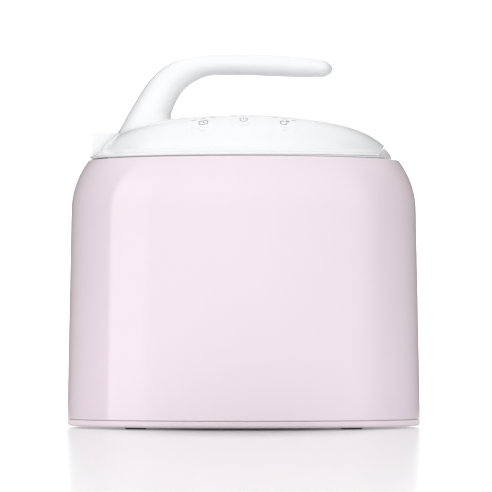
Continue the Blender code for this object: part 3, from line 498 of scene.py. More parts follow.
def finish(name, first, second, rough, metallic=0.0, grain=900.0, grain_depth=0.0,
           stretch=(1.0, 1.0, 1.0), coat=0.0):
    """Plastic, rubber or metal: broad colour drift, uneven roughness and a fine surface grain."""
    material, tree, shader = principled(name)
    colour = mixed(tree, object_noise(tree, 14.0, 2.0), first, second)
    tree.links.new(colour, shader.inputs["Base Color"])
    smudge = object_noise(tree, 60.0, 4.0, stretch)
    tree.links.new(ranged(tree, smudge, *rough), shader.inputs["Roughness"])
    shader.inputs["Metallic"].default_value = metallic
    shader.inputs["Coat Weight"].default_value = coat
    shader.inputs["Coat Roughness"].default_value = 0.05
    if grain_depth:
        bumped(tree, shader, object_noise(tree, grain, 2.0, stretch), 0.6, grain_depth)
    MATERIALS[name] = material


def make_frosted():
    material, tree, shader = principled("frosted")
    colour = mixed(tree, object_noise(tree, 20.0, 2.0), (0.86, 0.87, 0.88), (0.89, 0.90, 0.91))
    tree.links.new(colour, shader.inputs["Base Color"])
    shader.inputs["Roughness"].default_value = 0.32
    shader.inputs["Transmission Weight"].default_value = 0.10
    shader.inputs["IOR"].default_value = 1.45
    bumped(tree, shader, object_noise(tree, 1500.0, 2.0), 0.4, 0.00003)
    MATERIALS["frosted"] = material


def floor_material():
    """Matt white, dimmed round the object by a painted shadow, and darker far out to the sides.

    The darker sides are what the object's edges reflect. A slight painted glow, though the floor is no
    lamp, lifts the contact shadow, and more of it, painted light, keeps the floor beside the object as
    white as the backdrop.
    """
    material, tree, shader = principled("floor")
    place = tree.nodes.new("ShaderNodeTexCoord").outputs["Object"]
    parts = tree.nodes.new("ShaderNodeSeparateXYZ")
    tree.links.new(place, parts.inputs["Vector"])
    sideways = computed(tree, "ShaderNodeMath", "ABSOLUTE", parts.outputs["X"])["Value"]
    flat = computed(tree, "ShaderNodeVectorMath", "MULTIPLY", place, FLOOR_PAINTED_SHADOW_STRETCH)["Vector"]
    distance = computed(tree, "ShaderNodeVectorMath", "LENGTH", flat)["Value"]
    # painted shadow mask: 0 at the object, 1 away from it
    near = faded(tree, distance, *FLOOR_PAINTED_SHADOW)
    # painted light: mask for the stronger floor glow beside the object
    painted_light_aside = faded(tree, sideways, *FLOOR_PAINTED_LIGHT_ASIDE)
    far = faded(tree, sideways, *FLOOR_FADE)
    # painted shadow: dark floor colour (0.36) near the object, plain floor colour (0.605) away from it
    painted_shadow_colour = mixed(tree, near, (0.36, 0.36, 0.363), (0.605, 0.605, 0.61))
    colour = mixed(tree, far, painted_shadow_colour, (0.26, 0.26, 0.264))
    # painted glow: lowest below the object (painted shade), stronger in front of it (painted light)
    painted_shadow_glow = mixed(tree, near, FLOOR_PAINTED_GLOW[0], FLOOR_PAINTED_GLOW[1])
    glow = mixed(tree, far, mixed(tree, painted_light_aside, painted_shadow_glow, FLOOR_PAINTED_GLOW[2]), 0.0)
    tree.links.new(colour, shader.inputs["Base Color"])
    tree.links.new(glow, shader.inputs["Emission Color"])
    shader.inputs["Emission Strength"].default_value = 1.0
    shader.inputs["Roughness"].default_value = 0.24
    shader.inputs["IOR"].default_value = 1.12
    return material


def make_materials():
    finish("pink_gloss", (0.806, 0.696, 0.757), (0.822, 0.710, 0.772), (0.10, 0.15), grain=700.0,
           grain_depth=0.000004, coat=0.35)
    finish("white_gloss", (0.825, 0.833, 0.840), (0.845, 0.852, 0.859), (0.16, 0.24), grain=700.0,
           grain_depth=0.000005, coat=0.3)
    finish("white_satin", (0.80, 0.81, 0.83), (0.84, 0.85, 0.87), (0.38, 0.48), grain=2200.0,
           grain_depth=0.00002)
    finish("light_guide", (0.42, 0.45, 0.47), (0.48, 0.51, 0.53), (0.2, 0.3))
    finish("grey_print", (0.09, 0.10, 0.11), (0.12, 0.13, 0.14), (0.4, 0.5))
    finish("pale_print", (0.60, 0.62, 0.64), (0.66, 0.68, 0.70), (0.4, 0.5))
    finish("rubber", (0.045, 0.045, 0.048), (0.07, 0.07, 0.074), (0.7, 0.85), grain=2600.0,
           grain_depth=0.00004)
    finish("silicone", (0.74, 0.73, 0.74), (0.80, 0.79, 0.80), (0.5, 0.6), grain=1800.0,
           grain_depth=0.00002)
    finish("foam", (0.76, 0.74, 0.68), (0.84, 0.82, 0.77), (0.85, 0.95), grain_depth=0.0003)
    finish("gel", (0.20, 0.42, 0.62), (0.26, 0.50, 0.70), (0.3, 0.4))
    finish("aluminium", (0.74, 0.75, 0.76), (0.82, 0.83, 0.84), (0.24, 0.40), 1.0, 1200.0,
           0.00001, (1.0, 1.0, 24.0))
    finish("steel", (0.56, 0.57, 0.59), (0.66, 0.67, 0.69), (0.22, 0.36), 1.0, 1500.0, 0.00001,
           (1.0, 20.0, 1.0))
    finish("brass", (0.68, 0.50, 0.22), (0.76, 0.58, 0.30), (0.22, 0.34), 1.0, 1500.0, 0.00001)
    finish("winding", (0.42, 0.17, 0.07), (0.56, 0.26, 0.12), (0.3, 0.45), 0.6, 500.0, 0.0002,
           (1.0, 1.0, 12.0))
    finish("circuit_board", (0.02, 0.14, 0.05), (0.04, 0.20, 0.08), (0.3, 0.5), grain=700.0,
           grain_depth=0.00003)
    finish("black_plastic", (0.016, 0.016, 0.017), (0.03, 0.03, 0.032), (0.35, 0.5), grain=2400.0,
           grain_depth=0.00003)
    finish("grey_plastic", (0.34, 0.35, 0.37), (0.42, 0.43, 0.45), (0.4, 0.55), grain=1800.0,
           grain_depth=0.00003)
    finish("acetal", (0.82, 0.82, 0.79), (0.88, 0.88, 0.86), (0.25, 0.35), grain=1400.0,
           grain_depth=0.00001)
    make_frosted()


def dress_cad_nodes():
    for entry in frame["record"]["subparts"]:
        node = frame["nodes"][entry["node"]]
        material = MATERIALS[entry["material_slot"]]
        for number in range(max(1, len(node.material_slots))):
            if number < len(node.material_slots):
                node.material_slots[number].material = material
            else:
                node.data.materials.append(material)


# ---------------------------------------------------------------- base

def shoulder(offset, top, steps=28):
    lean = math.atan((FOOT_HALF - SHOULDER_HALF) / (SHOULDER_START - SHELL_BOTTOM))
    centre = (SHOULDER_HALF - SHOULDER_RADIUS * math.cos(lean),
              SHOULDER_START - SHOULDER_RADIUS * math.sin(lean))
    radius = SHOULDER_RADIUS - offset
    return arc(centre, radius, lean, math.asin((top - centre[1]) / radius), steps)


def make_shell():
    """Pink shell with its shoulder, its rolled rim and the opening for the mains inlet."""
    edge = 0.0008
    curve = shoulder(0.0, RIM_TOP - edge * 0.4)
    side = subdivided_side((FOOT_HALF - 0.0001, SHELL_BOTTOM + 0.0006), curve[0], 24)
    rim = curve[-1]
    outline = [(FOOT_HALF - 0.0007, SHELL_BOTTOM)] + side[:-1] + curve
    outline += [(rim[0] - 0.0005, RIM_TOP - 0.0001), (rim[0] - 0.0011, RIM_TOP),
                (RIM_INNER_HALF + edge, RIM_TOP), (RIM_INNER_HALF + 0.0002, RIM_TOP - 0.0002),
                (RIM_INNER_HALF, RIM_TOP - edge), (RIM_INNER_HALF, RIM_UNDER)]
    outline += list(reversed(shoulder(WALL, RIM_UNDER, 10)))
    outline += [(FOOT_HALF - WALL, SHELL_BOTTOM)]
    item = link("shell_skin", turned(outline, DEPTH_RATIO, OVAL_SIDES))
    width = INLET_HIGH[0] - INLET_LOW[0] + 2 * GAP
    height = INLET_HIGH[2] - INLET_LOW[2] + 2 * GAP
    middle = (INLET_HIGH[2] + INLET_LOW[2]) / 2
    hole = [(x, z + middle) for x, z in rounded_rectangle(width, height, 0.0008)]
    cut(item, prism(hole, 1, 0.090, 0.120))
    settle(item, "pink_gloss", "base", "outer_shell", angle=30)


def make_tray():
    """Base band below the seam, with recesses for the feet and the screws."""
    half = TRAY_HIGH[0]
    bottom = TRAY_LOW[2]
    corner = 0.0022
    lip_inner = TRAY_LIP_HALF - TRAY_LIP_THICKNESS
    outline = [(0.0, bottom), (0.06, bottom)]
    outline += arc((half - corner, bottom + corner), corner, -math.pi / 2, 0.0, 10)
    outline += [(half, TRAY_SHOULDER - 0.0003), (half - 0.0003, TRAY_SHOULDER),
                (TRAY_LIP_HALF, TRAY_SHOULDER), (TRAY_LIP_HALF, TRAY_LIP_TOP),
                (lip_inner, TRAY_LIP_TOP), (lip_inner, TRAY_FLOOR), (0.0, TRAY_FLOOR)]
    item = link("tray_skin", turned(outline, DEPTH_RATIO, OVAL_SIDES))
    for number in range(1, 5):
        foot = f"foot_{number}"
        centre, radius = plan(foot)
        foot_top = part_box(foot)[1][2]
        cut(item, cylinder(radius + GAP, UNDER_TRAY, foot_top + GAP, centre))
        centre, radius = plan(f"tray_screw_{number}")
        cut(item, cylinder(radius + GAP, UNDER_TRAY, SCREW_SEAT, centre))
        cut(item, cylinder(SCREW_HOLE, UNDER_TRAY, 0.010, centre))
    settle(item, "pink_gloss", "base", "base_tray", angle=30)


def make_feet():
    for number in range(1, 5):
        name = f"foot_{number}"
        centre, radius = plan(name)
        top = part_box(name)[1][2]
        edge = 0.0012
        outline = [(0.0, 0.0003), (radius * 0.45, 0.0003), (radius * 0.5, 0.0), (radius - edge, 0.0)]
        outline += arc((radius - edge, edge), edge, -math.pi / 2, 0.0, 6)[1:]
        outline += [(radius, top), (0.0, top)]
        settle(link(f"{name}_skin", turned(outline, 1.0, 64, centre)), "rubber", "base", name)


def make_screw(name, body, underside):
    """A round head with a cross recess, then the shank with its thread."""
    low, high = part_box(name)
    centre, radius = plan(name)
    outline = [(0.0, low[2]), (radius - 0.0006, low[2]), (radius, low[2] + 0.0005), (radius, underside)]
    top = high[2] - 0.001
    for turn in range(int((top - underside) / THREAD_PITCH)):
        z = underside + 0.0001 + turn * THREAD_PITCH
        outline += [(SCREW_SHANK - THREAD_DEPTH, z), (SCREW_SHANK, z + THREAD_PITCH / 2)]
    outline += [(SCREW_SHANK - THREAD_DEPTH, top), (0.0, high[2])]
    item = link(f"{name}_skin", turned(outline, 1.0, 32, centre))
    depth = min(0.0008, (underside - low[2]) * 0.6)
    for wide, deep in ((radius * 0.62, 0.0004), (0.0004, radius * 0.62)):
        cut(item, box((centre[0] - wide, centre[1] - deep, low[2] - 0.001),
                      (centre[0] + wide, centre[1] + deep, low[2] + depth)))
    settle(item, "steel", body, name)


def cheek_outline():
    left = PIN[0] - 0.0044
    right = -0.091
    top = PIN[1] + KNUCKLE_RADIUS
    corner = 0.0022
    points = [(right, DECK_TOP - 0.0008), (right, top - corner)]
    points += arc((right - corner, top - corner), corner, 0.0, math.pi / 2, 10)[1:]
    points += arc((left + corner, top - corner), corner, math.pi / 2, math.pi, 10)
    points += [(left, RIM_TOP + 0.0004), (-0.1085, RIM_TOP + 0.0004), (-0.1085, DECK_TOP - 0.0008)]
    return points


def pin_rod(radius, half_length):
    rod = cylinder(radius, -half_length, half_length)
    turn = Matrix.Rotation(math.pi / 2, 4, "X")
    return moved(rod, Matrix.Translation((PIN[0], 0.0, PIN[1])) @ turn)


def make_deck():
    """White deck around the bowl, with the two hinge cheeks standing on it."""
    edge = 0.0006
    outline = [(DECK_HOLE_RADIUS, DECK_BOTTOM, 1.0), (DECK_FLANGE_HALF, DECK_BOTTOM),
               (DECK_FLANGE_HALF, DECK_LEDGE), (RIM_INNER_HALF - GAP, DECK_LEDGE),
               (RIM_INNER_HALF - GAP, DECK_TOP - edge), (RIM_INNER_HALF - GAP - edge, DECK_TOP),
               (0.104, DECK_TOP, 0.84), (0.092, DECK_TOP, 0.92),
               (DECK_HOLE_RADIUS + 0.0016, DECK_TOP, 1.0),
               (DECK_HOLE_RADIUS + 0.0005, DECK_TOP - 0.0004, 1.0),
               (DECK_HOLE_RADIUS, DECK_TOP - 0.0015, 1.0)]
    item = link("deck_skin", turned(outline, DEPTH_RATIO, OVAL_SIDES))
    for side in (-1, 1):
        ends = sorted((side * CHEEK_Y[0], side * CHEEK_Y[1]))
        cheek = link("cheek", prism(cheek_outline(), 1, ends[0], ends[1]))
        bevel(cheek, 0.0006, 3, 50)
        merge(item, cheek, "UNION")
    cut(item, pin_rod(PIN_BORE, 0.0128))
    low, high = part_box("strike_plate")
    cut(item, box((low[0] - GAP, low[1] - GAP, low[2] - GAP), (high[0] + GAP, high[1] + GAP, 0.2)))
    settle(item, "white_gloss", "base", "deck_ring", angle=30)


def make_bowl():
    """Freezer bowl with rolled edges, and the well that it stands in."""
    outer = BOWL_HIGH[0]
    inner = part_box("bowl_inner")[1][0] - BOWL_SKIN
    bottom = BOWL_LOW[2]
    top = BOWL_HIGH[2]
    corner = 0.006
    outline = [(0.0, bottom), (0.03, bottom)]
    outline += arc((outer - corner, bottom + corner), corner, -math.pi / 2, 0.0, 10)
    outline += subdivided_side((outer, bottom + 0.02), (outer, top), 6)
    outline += [(outer - BOWL_SKIN, top)]
    inset = corner + BOWL_SKIN
    outline += arc((outer - inset, bottom + inset), corner, 0.0, -math.pi / 2, 10)
    outline += [(0.0, bottom + BOWL_SKIN)]
    settle(link("bowl_outer_skin", turned(outline)), "white_gloss", "base", "bowl_outer")
    floor = BOWL_FLOOR
    corner = 0.0062
    outline = [(0.0, floor - BOWL_SKIN), (inner - 0.006, floor - BOWL_SKIN)]
    outline += [(inner + BOWL_SKIN, floor + 0.006), (inner + BOWL_SKIN, top), (inner, top)]
    outline += arc((inner - corner, floor + corner), corner, 0.0, -math.pi / 2, 14)
    outline += [(0.030, floor), (0.0055, floor), (0.0043, floor + 0.0006), (0.0040, floor + 0.0015),
                (0.0040, floor + 0.0052), (0.0034, floor + 0.0059), (0.0, floor + 0.0060)]
    settle(link("bowl_inner_skin", turned(outline)), "aluminium", "base", "bowl_inner")
    low = RIM_LOW[2]
    high = RIM_HIGH[2]
    edge = 0.0018
    outline = [(inner, low), (outer, low)]
    outline += arc((outer - edge, high - edge), edge, 0.0, math.pi / 2, 8)
    outline += arc((inner + edge, high - edge), edge, math.pi / 2, math.pi, 8)
    settle(link("bowl_rim_skin", turned(outline)), "rubber", "base", "bowl_rim_seal",
           material="silicone")
    well = WELL_RADIUS
    outside = well + WELL_WALL
    flange = WELL_HIGH[0]
    low = WELL_LOW[2]
    high = WELL_HIGH[2]
    outline = [(0.0, low), (well - 0.004, low), (outside - 0.001, low + 0.001),
               (outside, low + 0.004), (outside, high - WALL), (flange, high - WALL),
               (flange, high), (well, high), (well, low + WELL_WALL + 0.003),
               (well - 0.003, low + WELL_WALL), (0.0, low + WELL_WALL)]
    settle(link("well_skin", turned(outline)), "white_gloss", "base", "bowl_well")


def make_inlet():
    """Mains inlet with a rounded two-pin socket and a shallow frame round it."""
    low, high = INLET_LOW, INLET_HIGH
    middle = (low[2] + high[2]) / 2
    outline = rounded_rectangle(high[0] - low[0], high[2] - low[2], 0.0008)
    item = link("inlet_skin", prism([(x, z + middle) for x, z in outline], 1, low[1], high[1]))
    socket = rounded_rectangle(0.0164, 0.0100, 0.0045, 8)
    cut(item, prism([(x, z + middle) for x, z in socket], 1, 0.092, 0.11))
    step = rounded_rectangle(0.0206, 0.0142, 0.0052, 8)
    cut(item, prism([(x, z + middle) for x, z in step], 1, high[1] - 0.0008, 0.11))
    bevel(item, 0.0003, 2)
    settle(item, "black_plastic", "base", "power_inlet")


# ---------------------------------------------------------------- dome

def dome_depth(x, inset=0.0):
    half = DOME_HALF - inset
    return DEPTH_RATIO * half * math.sqrt(max(0.0, 1.0 - (x / half) ** 2))


def dome_crest(x, inset=0.0):
    half = DOME_HALF - inset
    rest = max(0.0, 1.0 - abs(x / half) ** PROFILE_POWER)
    return (DOME_CROWN - inset) * rest ** (1 / PROFILE_POWER)


def dome_height(x, y, inset=0.0):
    depth = dome_depth(x, inset)
    fillet = min(DOME_FILLET, depth)
    if fillet <= 0.0:
        return DOME_BASE
    run = max(0.0, (abs(y) - depth) / fillet + 1.0)
    rise = max(0.0, 1.0 - run ** FILLET_POWER) ** 0.5
    return DOME_BASE + dome_crest(x, inset) * rise


def surface_point(x, y):
    step = 0.0003
    slope_x = (dome_height(x + step, y) - dome_height(x - step, y)) / (2 * step)
    slope_y = (dome_height(x, y + step) - dome_height(x, y - step)) / (2 * step)
    return Vector((x, y, dome_height(x, y))), Vector((-slope_x, -slope_y, 1.0)).normalized()


def surface_frame(x, y):
    place, normal = surface_point(x, y)
    up = normal.cross(Vector((1.0, 0.0, 0.0))).normalized()
    side = up.cross(normal)
    turn = Matrix((side, up, normal)).transposed().to_4x4()
    return Matrix.Translation(place) @ turn


def dome_section(x, inset, floor, steps):
    depth = dome_depth(x, inset)
    fillet = min(DOME_FILLET, depth)
    crest = dome_crest(x, inset)
    front = [(-depth, floor)]
    for step in range(steps + 1):
        angle = math.pi / 2 * step / steps
        rise = math.sin(angle)
        run = max(0.0, math.cos(angle)) ** (2 / FILLET_POWER)
        front.append((-(depth - fillet) - fillet * run, DOME_BASE + crest * rise))
    plateau = depth - fillet
    for step in range(1, 5):
        front.append((-plateau * (1 - step / 4), DOME_BASE + crest))
    back = [(-y, z) for y, z in reversed(front[:-1])]
    return [(x, y, z) for y, z in front + back]


def dome(inset, floor, end, stations, steps):
    half = DOME_HALF - inset
    first = math.radians(1.5)
    last = math.acos(-end / half) if end < half else math.pi - first
    sections = []
    for station in range(stations + 1):
        angle = first + (last - first) * station / stations
        sections.append(dome_section(-half * math.cos(angle), inset, floor, steps))
    return lofted(sections)


def end_cutter():
    """Everything to the right of the slanted end of the dome."""
    low = END_LOW[0] - END_SLOPE * (END_LOW[1] - UNDER_HEAD)
    high = END_TOP[0] + END_SLOPE * (OVER_HEAD - END_TOP[1])
    outline = [(low, UNDER_HEAD), (OUTSIDE, UNDER_HEAD), (OUTSIDE, OVER_HEAD), (high, OVER_HEAD)]
    return prism(outline, 1, -DEEP, DEEP)


def notch():
    return box((-OUTSIDE, -NOTCH_HALF, UNDER_HEAD), (NOTCH_END, NOTCH_HALF, NOTCH_TOP))


def seam_wedge():
    """Everything under the slope that the lip's right half follows."""
    high = LIP_LOW + SEAM_SLOPE * OUTSIDE
    outline = [(0.0, UNDER_HEAD), (OUTSIDE, UNDER_HEAD), (OUTSIDE, high), (0.0, LIP_LOW)]
    return prism(outline, 1, -DEEP, DEEP)


def lip_outline():
    """Lip under the dome: a rounded edge and a hollow sweep up into the dome's side."""
    edge = 0.0007
    outline = [(LIP_INNER_HALF, LIP_LOW), (LIP_HALF - edge, LIP_LOW)]
    outline += arc((LIP_HALF - edge, LIP_LOW + edge), edge, -math.pi / 2, 0.0, 5)[1:]
    outline += [(LIP_HALF, LIP_EDGE_TOP - 0.0004)]
    top = DOME_BASE + 0.0060
    outline += bend((LIP_HALF - 0.0003, LIP_EDGE_TOP), (LIP_HALF - 0.0057, LIP_EDGE_TOP + 0.0003),
                    (DOME_HALF - 0.0018, top), 12)
    outline.append((LIP_INNER_HALF, top))
    return outline


def make_head():
    """White dome with its wall, lip, slanted end, hinge notch and the openings for the controls."""
    item = link("head_skin", dome(0.0, DOME_BASE - 0.0004, DOME_HALF, 120, 22))
    join(item, turned(lip_outline(), DEPTH_RATIO, OVAL_SIDES))
    cut(item, dome(WALL, UNDER_HEAD, CAVITY_END, 60, 12))
    cut(item, end_cutter())
    cut(item, box((PASSAGE[0], -PASSAGE[1], UNDER_HEAD), (OUTSIDE, PASSAGE[1], PLATE_BOTTOM)))
    cut(item, notch())
    cut(item, seam_wedge())
    for x in KEY_PLACES.values():
        outline = rounded_rectangle(KEY_SIZE[0] + 2 * KEY_GAP, KEY_SIZE[1] + 2 * KEY_GAP, KEY_CORNER)
        cut(item, moved(prism(outline, 2, -KEY_CUT, KEY_CUT), surface_frame(x, KEY_Y)))
        for step in (-1, 0, 1):
            wide = LIGHT_SIZE[0] / 2 + KEY_GAP
            deep = LIGHT_SIZE[1] / 2 + KEY_GAP
            window = box((-wide, -deep, -KEY_CUT), (wide, deep, KEY_CUT))
            cut(item, moved(window, surface_frame(x + step * LIGHT_SPACING, LIGHT_Y)))
    settle(item, "white_gloss", "head", "head_shell", angle=25)


# ---------------------------------------------------------------- handle

def spline(values, position):
    index = min(int(position), len(values) - 2)
    part = position - index
    start = values[index]
    end = values[index + 1]
    before = values[index - 1] if index else 2 * start - end
    after = values[index + 2] if index + 2 < len(values) else 2 * end - start
    return 0.5 * (2 * start + (end - before) * part
                  + (2 * before - 5 * start + 4 * end - after) * part ** 2
                  + (3 * start - before - 3 * end + after) * part ** 3)


def squarish(angle, power):
    """Cosine and sine of an angle, each raised to a power that keeps its sign."""
    return [math.copysign(abs(side) ** power, side) for side in (math.cos(angle), math.sin(angle))]


def grip_at(position):
    """Outer point, inner point and width of the grip at a place along its sections."""
    outers, inners, widths = zip(*HANDLE_SECTIONS)
    outer = spline([Vector(point) for point in outers], position)
    inner = spline([Vector(point) for point in inners], position)
    return outer, inner, spline(widths, position)


def handle_ring(outer, inner, width, sides=64):
    """Superellipse across the grip, between its outer and inner point."""
    centre = (outer + inner) / 2
    reach = (outer - inner) / 2
    ring = []
    for side in range(sides):
        angle = 2 * math.pi * side / sides
        out, wide = squarish(angle, HANDLE_ROUNDNESS)
        place = centre + reach * out
        ring.append(Vector((place.x, wide * width / 2, place.y)))
    return ring


def handle_rings():
    last = len(HANDLE_SECTIONS) - 1
    steps = last * 7
    rings = [handle_ring(*grip_at(last * step / steps)) for step in range(steps + 1)]
    outer, inner, width = grip_at(last)
    centre = (outer + inner) / 2
    before = grip_at(last - 1)
    ahead = (centre - (before[0] + before[1]) / 2).normalized()
    for step in range(1, 15):
        angle = math.pi / 2 * step / 14.4
        shift = ahead * HANDLE_TIP * math.sin(angle)
        shrink = math.cos(angle) ** 0.9
        reach = (outer - inner) / 2 * shrink
        rings.append(handle_ring(centre + shift + reach, centre + shift - reach, width * shrink))
    return rings


def hermite(start, start_pull, end, end_pull, part):
    return (start * (2 * part ** 3 - 3 * part ** 2 + 1) + start_pull * (part ** 3 - 2 * part ** 2 + part)
            + end * (3 * part ** 2 - 2 * part ** 3) + end_pull * (part ** 3 - part ** 2))


def root_rings(first, second):
    """Rings that sweep from the grip's first ring down and out onto the dome."""
    count = len(first)
    steps = 18
    rings = []
    ends = []
    for side in range(count):
        angle = 2 * math.pi * side / count
        out, wide = squarish(angle, ROOT_ROUNDNESS)
        place, normal = surface_point(ROOT_CENTRE - ROOT_HALF[0] * out, ROOT_HALF[1] * wide)
        away = Vector((-math.cos(angle) * ROOT_HALF[1], math.sin(angle) * ROOT_HALF[0], 0.0))
        away.normalize()
        along = (away - normal * away.dot(normal)).normalized()
        ends.append((place - normal * 0.0001, along, normal))
    for step in range(steps + 1):
        part = step / steps
        ring = []
        for start, after, (end, along, _) in zip(first, second, ends):
            heading = (start - after).normalized()
            span = (end - start).length
            ring.append(hermite(start, heading * span * 1.1, end, along * span * 0.9, part))
        rings.append(ring)
    rings.append([end - normal * 0.0014 - along * 0.001 for end, along, normal in ends])
    return rings


def make_handle():
    """One-ended handle that grows out of the dome, over the hinge."""
    rings = handle_rings()
    root = root_rings(rings[0], rings[1])
    item = link("handle_skin", lofted(list(reversed(root)) + rings[1:]))
    cut(item, notch())
    settle(item, "white_gloss", "head", angle=40)


def make_handle_insert():
    """Soft strip let into the underside of the grip."""
    first = 6.0
    last = 9.35
    stations = 48
    across = 14
    sections = []
    for station in range(stations + 1):
        outer, inner, width = grip_at(first + (last - first) * station / stations)
        down = (inner - outer).normalized()
        end = min(station, stations - station) / stations * (last - first) * 8
        half = INSERT_HALF * math.sqrt(max(0.02, 1.0 - max(0.0, 1.0 - end) ** 2))
        face = []
        for step in range(across + 1):
            y = half * (2 * step / across - 1)
            fall = 1.0 - (abs(y) / (width / 2)) ** (2 / HANDLE_ROUNDNESS)
            reach = (inner - outer) / 2 * fall ** (HANDLE_ROUNDNESS / 2)
            edge = min(1.0, (1.0 - abs(2 * step / across - 1)) * 5, end * 1.2)
            place = (inner + outer) / 2 + reach + down * (0.00016 * math.sqrt(max(0.0, edge)) - 0.00008)
            face.append(Vector((place.x, y, place.y)))
        back = [point - Vector((down.x, 0.0, down.y)) * 0.0012 for point in reversed(face)]
        sections.append(face + back)
    settle(link("grip_skin", lofted(sections)), "white_satin", "head", "handle_insert", angle=40)


# ---------------------------------------------------------------- controls

def key_cap(x):
    """Cap whose top carries on the dome's curve."""
    frame_matrix = surface_frame(x, KEY_Y)
    rim = rounded_rectangle(KEY_SIZE[0], KEY_SIZE[1], KEY_CORNER)
    rings = [[frame_matrix @ Vector((px, py, -KEY_THICKNESS - 0.0008)) for px, py in rim]]
    levels = [(1.0, -0.0003), (1.0, -0.00001), (0.978, 0.0)]
    levels += [(1.0 - step / 10, 0.0) for step in range(2, 10)]
    for size, level in levels:
        rings.append([on_dome(frame_matrix, px * size, py * size, level) for px, py in rim])
    mesh = lofted(rings, False)
    mesh.verts.ensure_lookup_table()
    count = len(rim)
    mesh.faces.new(mesh.verts[:count])
    last = mesh.verts[-count:]
    centre = mesh.verts.new(on_dome(frame_matrix, 0.0, 0.0))
    for step in range(count):
        mesh.faces.new((last[step], last[(step + 1) % count], centre))
    return finished(mesh)


def on_dome(frame_matrix, px, py, level=0.0):
    """Point over a place of a tangent frame, at a level above the dome along the frame's normal."""
    normal = frame_matrix.to_3x3() @ Vector((0.0, 0.0, 1.0))
    place = frame_matrix @ Vector((px, py, 0.0))
    for _ in range(6):
        gap = dome_height(place.x, place.y) - place.z
        place = place + normal * gap * 0.8
    return place + normal * level


def strip(path, width):
    """Flat ribbon along a path of (x, y) points."""
    left = []
    right = []
    for index, point in enumerate(path):
        before = Vector(path[max(index - 1, 0)])
        after = Vector(path[min(index + 1, len(path) - 1)])
        ahead = (after - before).normalized()
        side = Vector((-ahead.y, ahead.x)) * width / 2
        left.append(Vector(point) + side)
        right.append(Vector(point) - side)
    return left + list(reversed(right))


def printed(name, shapes, x, material, body):
    """Thin print on a key: each shape is draped on the dome and stands just proud of it."""
    frame_matrix = surface_frame(x, KEY_Y)
    mesh = bmesh.new()
    for path, width in shapes:
        outline = strip(path, width)
        half = len(outline) // 2
        low = [mesh.verts.new(on_dome(frame_matrix, px, py, -PRINT_LEVEL)) for px, py in outline]
        high = [mesh.verts.new(on_dome(frame_matrix, px, py, PRINT_LEVEL)) for px, py in outline]
        count = len(outline)
        for step in range(half - 1):
            far = count - 1 - step
            mesh.faces.new((high[step], high[step + 1], high[far - 1], high[far]))
            mesh.faces.new((low[far], low[far - 1], low[step + 1], low[step]))
        for step in range(count):
            after = (step + 1) % count
            mesh.faces.new((low[step], low[after], high[after], high[step]))
    settle(link(name, finished(mesh)), "light_guide", body, angle=None, material=material)


def icon_shapes(name):
    """Plain symbols: a clock face, a broken ring with a bar, and a ring with an arrowhead."""
    line = 0.00046
    y = ICON_Y[name]
    if name == "timer":
        body = rounded_rectangle(0.0062, 0.0046, 0.0016)
        body = [(px, y + py) for px, py in body + body[:1]]
        hand = [(0.0, y + 0.0013), (0.0, y - 0.0002), (0.0014, y - 0.0009)]
        return [(body, line), (hand, line)]
    if name == "power":
        ring = arc((0.0, y), 0.0027, math.radians(125), math.radians(415), 26)
        bar = [(0.0, y + 0.0030), (0.0, y + 0.0006)]
        return [(ring, line), (bar, line)]
    ring = arc((-0.0006, y - 0.0003), 0.0024, math.radians(80), math.radians(375), 26)
    shaft = [(0.0010, y + 0.0012), (0.0031, y + 0.0029)]
    head = [(0.0014, y + 0.0030), (0.0033, y + 0.0030), (0.0033, y + 0.0012)]
    return [(ring, line), (shaft, line), (head, line)]


def make_controls():
    for name, x in KEY_PLACES.items():
        node = f"key_{name}"
        settle(link(f"{node}_skin", key_cap(x)), "white_gloss", node, node, angle=40)
        printed(f"icon_{name}", icon_shapes(name), x, "grey_print", node)
        bars = []
        for half, y in zip(CAPTION_HALVES[name], (-0.0013, -0.0040)):
            bars.append(([(-half, y), (half, y)], 0.0005))
        printed(f"caption_{name}", bars, x, "pale_print", node)


# ---------------------------------------------------------------- under the dome

def arm_outline():
    knuckle = arc(PIN, KNUCKLE_RADIUS, math.pi / 2, 3 * math.pi / 2, 24)
    step = NOTCH_END - GAP
    return knuckle + [(-0.096, PLATE_BOTTOM), (-0.070, PLATE_BOTTOM), (-0.070, 0.208),
                      (-0.080, 0.2124), (step, 0.2124), (step, PIN[1] + KNUCKLE_RADIUS)]


def make_head_base():
    """Plate that closes the dome from below, with the hinge arm."""
    outline = [(0.0, PLATE_BOTTOM), (PLATE_HALF - 0.0006, PLATE_BOTTOM),
               (PLATE_HALF, PLATE_BOTTOM + 0.0006), (PLATE_HALF, PLATE_TOP), (0.0, PLATE_TOP)]
    item = link("head_base_skin", turned(outline, DEPTH_RATIO, OVAL_SIDES))
    cut(item, box((PLATE_END, -DEEP, UNDER_HEAD), (OUTSIDE, DEEP, OVER_HEAD)))
    cut(item, notch())
    arm = link("arm", prism(arm_outline(), 1, -ARM_HALF, ARM_HALF))
    bevel(arm, 0.0005, 3, 50)
    merge(item, arm, "UNION")
    cut(item, pin_rod(PIN_BORE, 0.011))
    cut(item, cylinder(SHAFT_HOLE, UNDER_HEAD, OVER_HEAD))
    for number in (1, 2):
        centre, radius = plan(f"head_screw_{number}")
        cut(item, cylinder(SCREW_HOLE, UNDER_HEAD, OVER_HEAD, centre))
        cut(item, cylinder(radius + GAP, UNDER_HEAD, PLATE_BOTTOM + 0.0012, centre))
    settle(item, "white_gloss", "head", "head_base", angle=30)


def tab_outline():
    """The cover's raised end, which follows the slanted end of the dome."""
    foot = END_LOW[0] + END_SLOPE * (COVER_TOP - END_LOW[1]) + 0.0005
    head = END_LOW[0] + END_SLOPE * (0.2038 - END_LOW[1]) + 0.0005
    low = COVER_BOTTOM + 0.0001
    high = COVER_TOP - 0.0001
    outline = [(0.0960, low)] + bend((TAB_HALF, low), (0.1078, 0.2010), (0.1030, 0.2041), 10)
    return outline + [(head, 0.2041), (foot, high), (0.0960, high)]


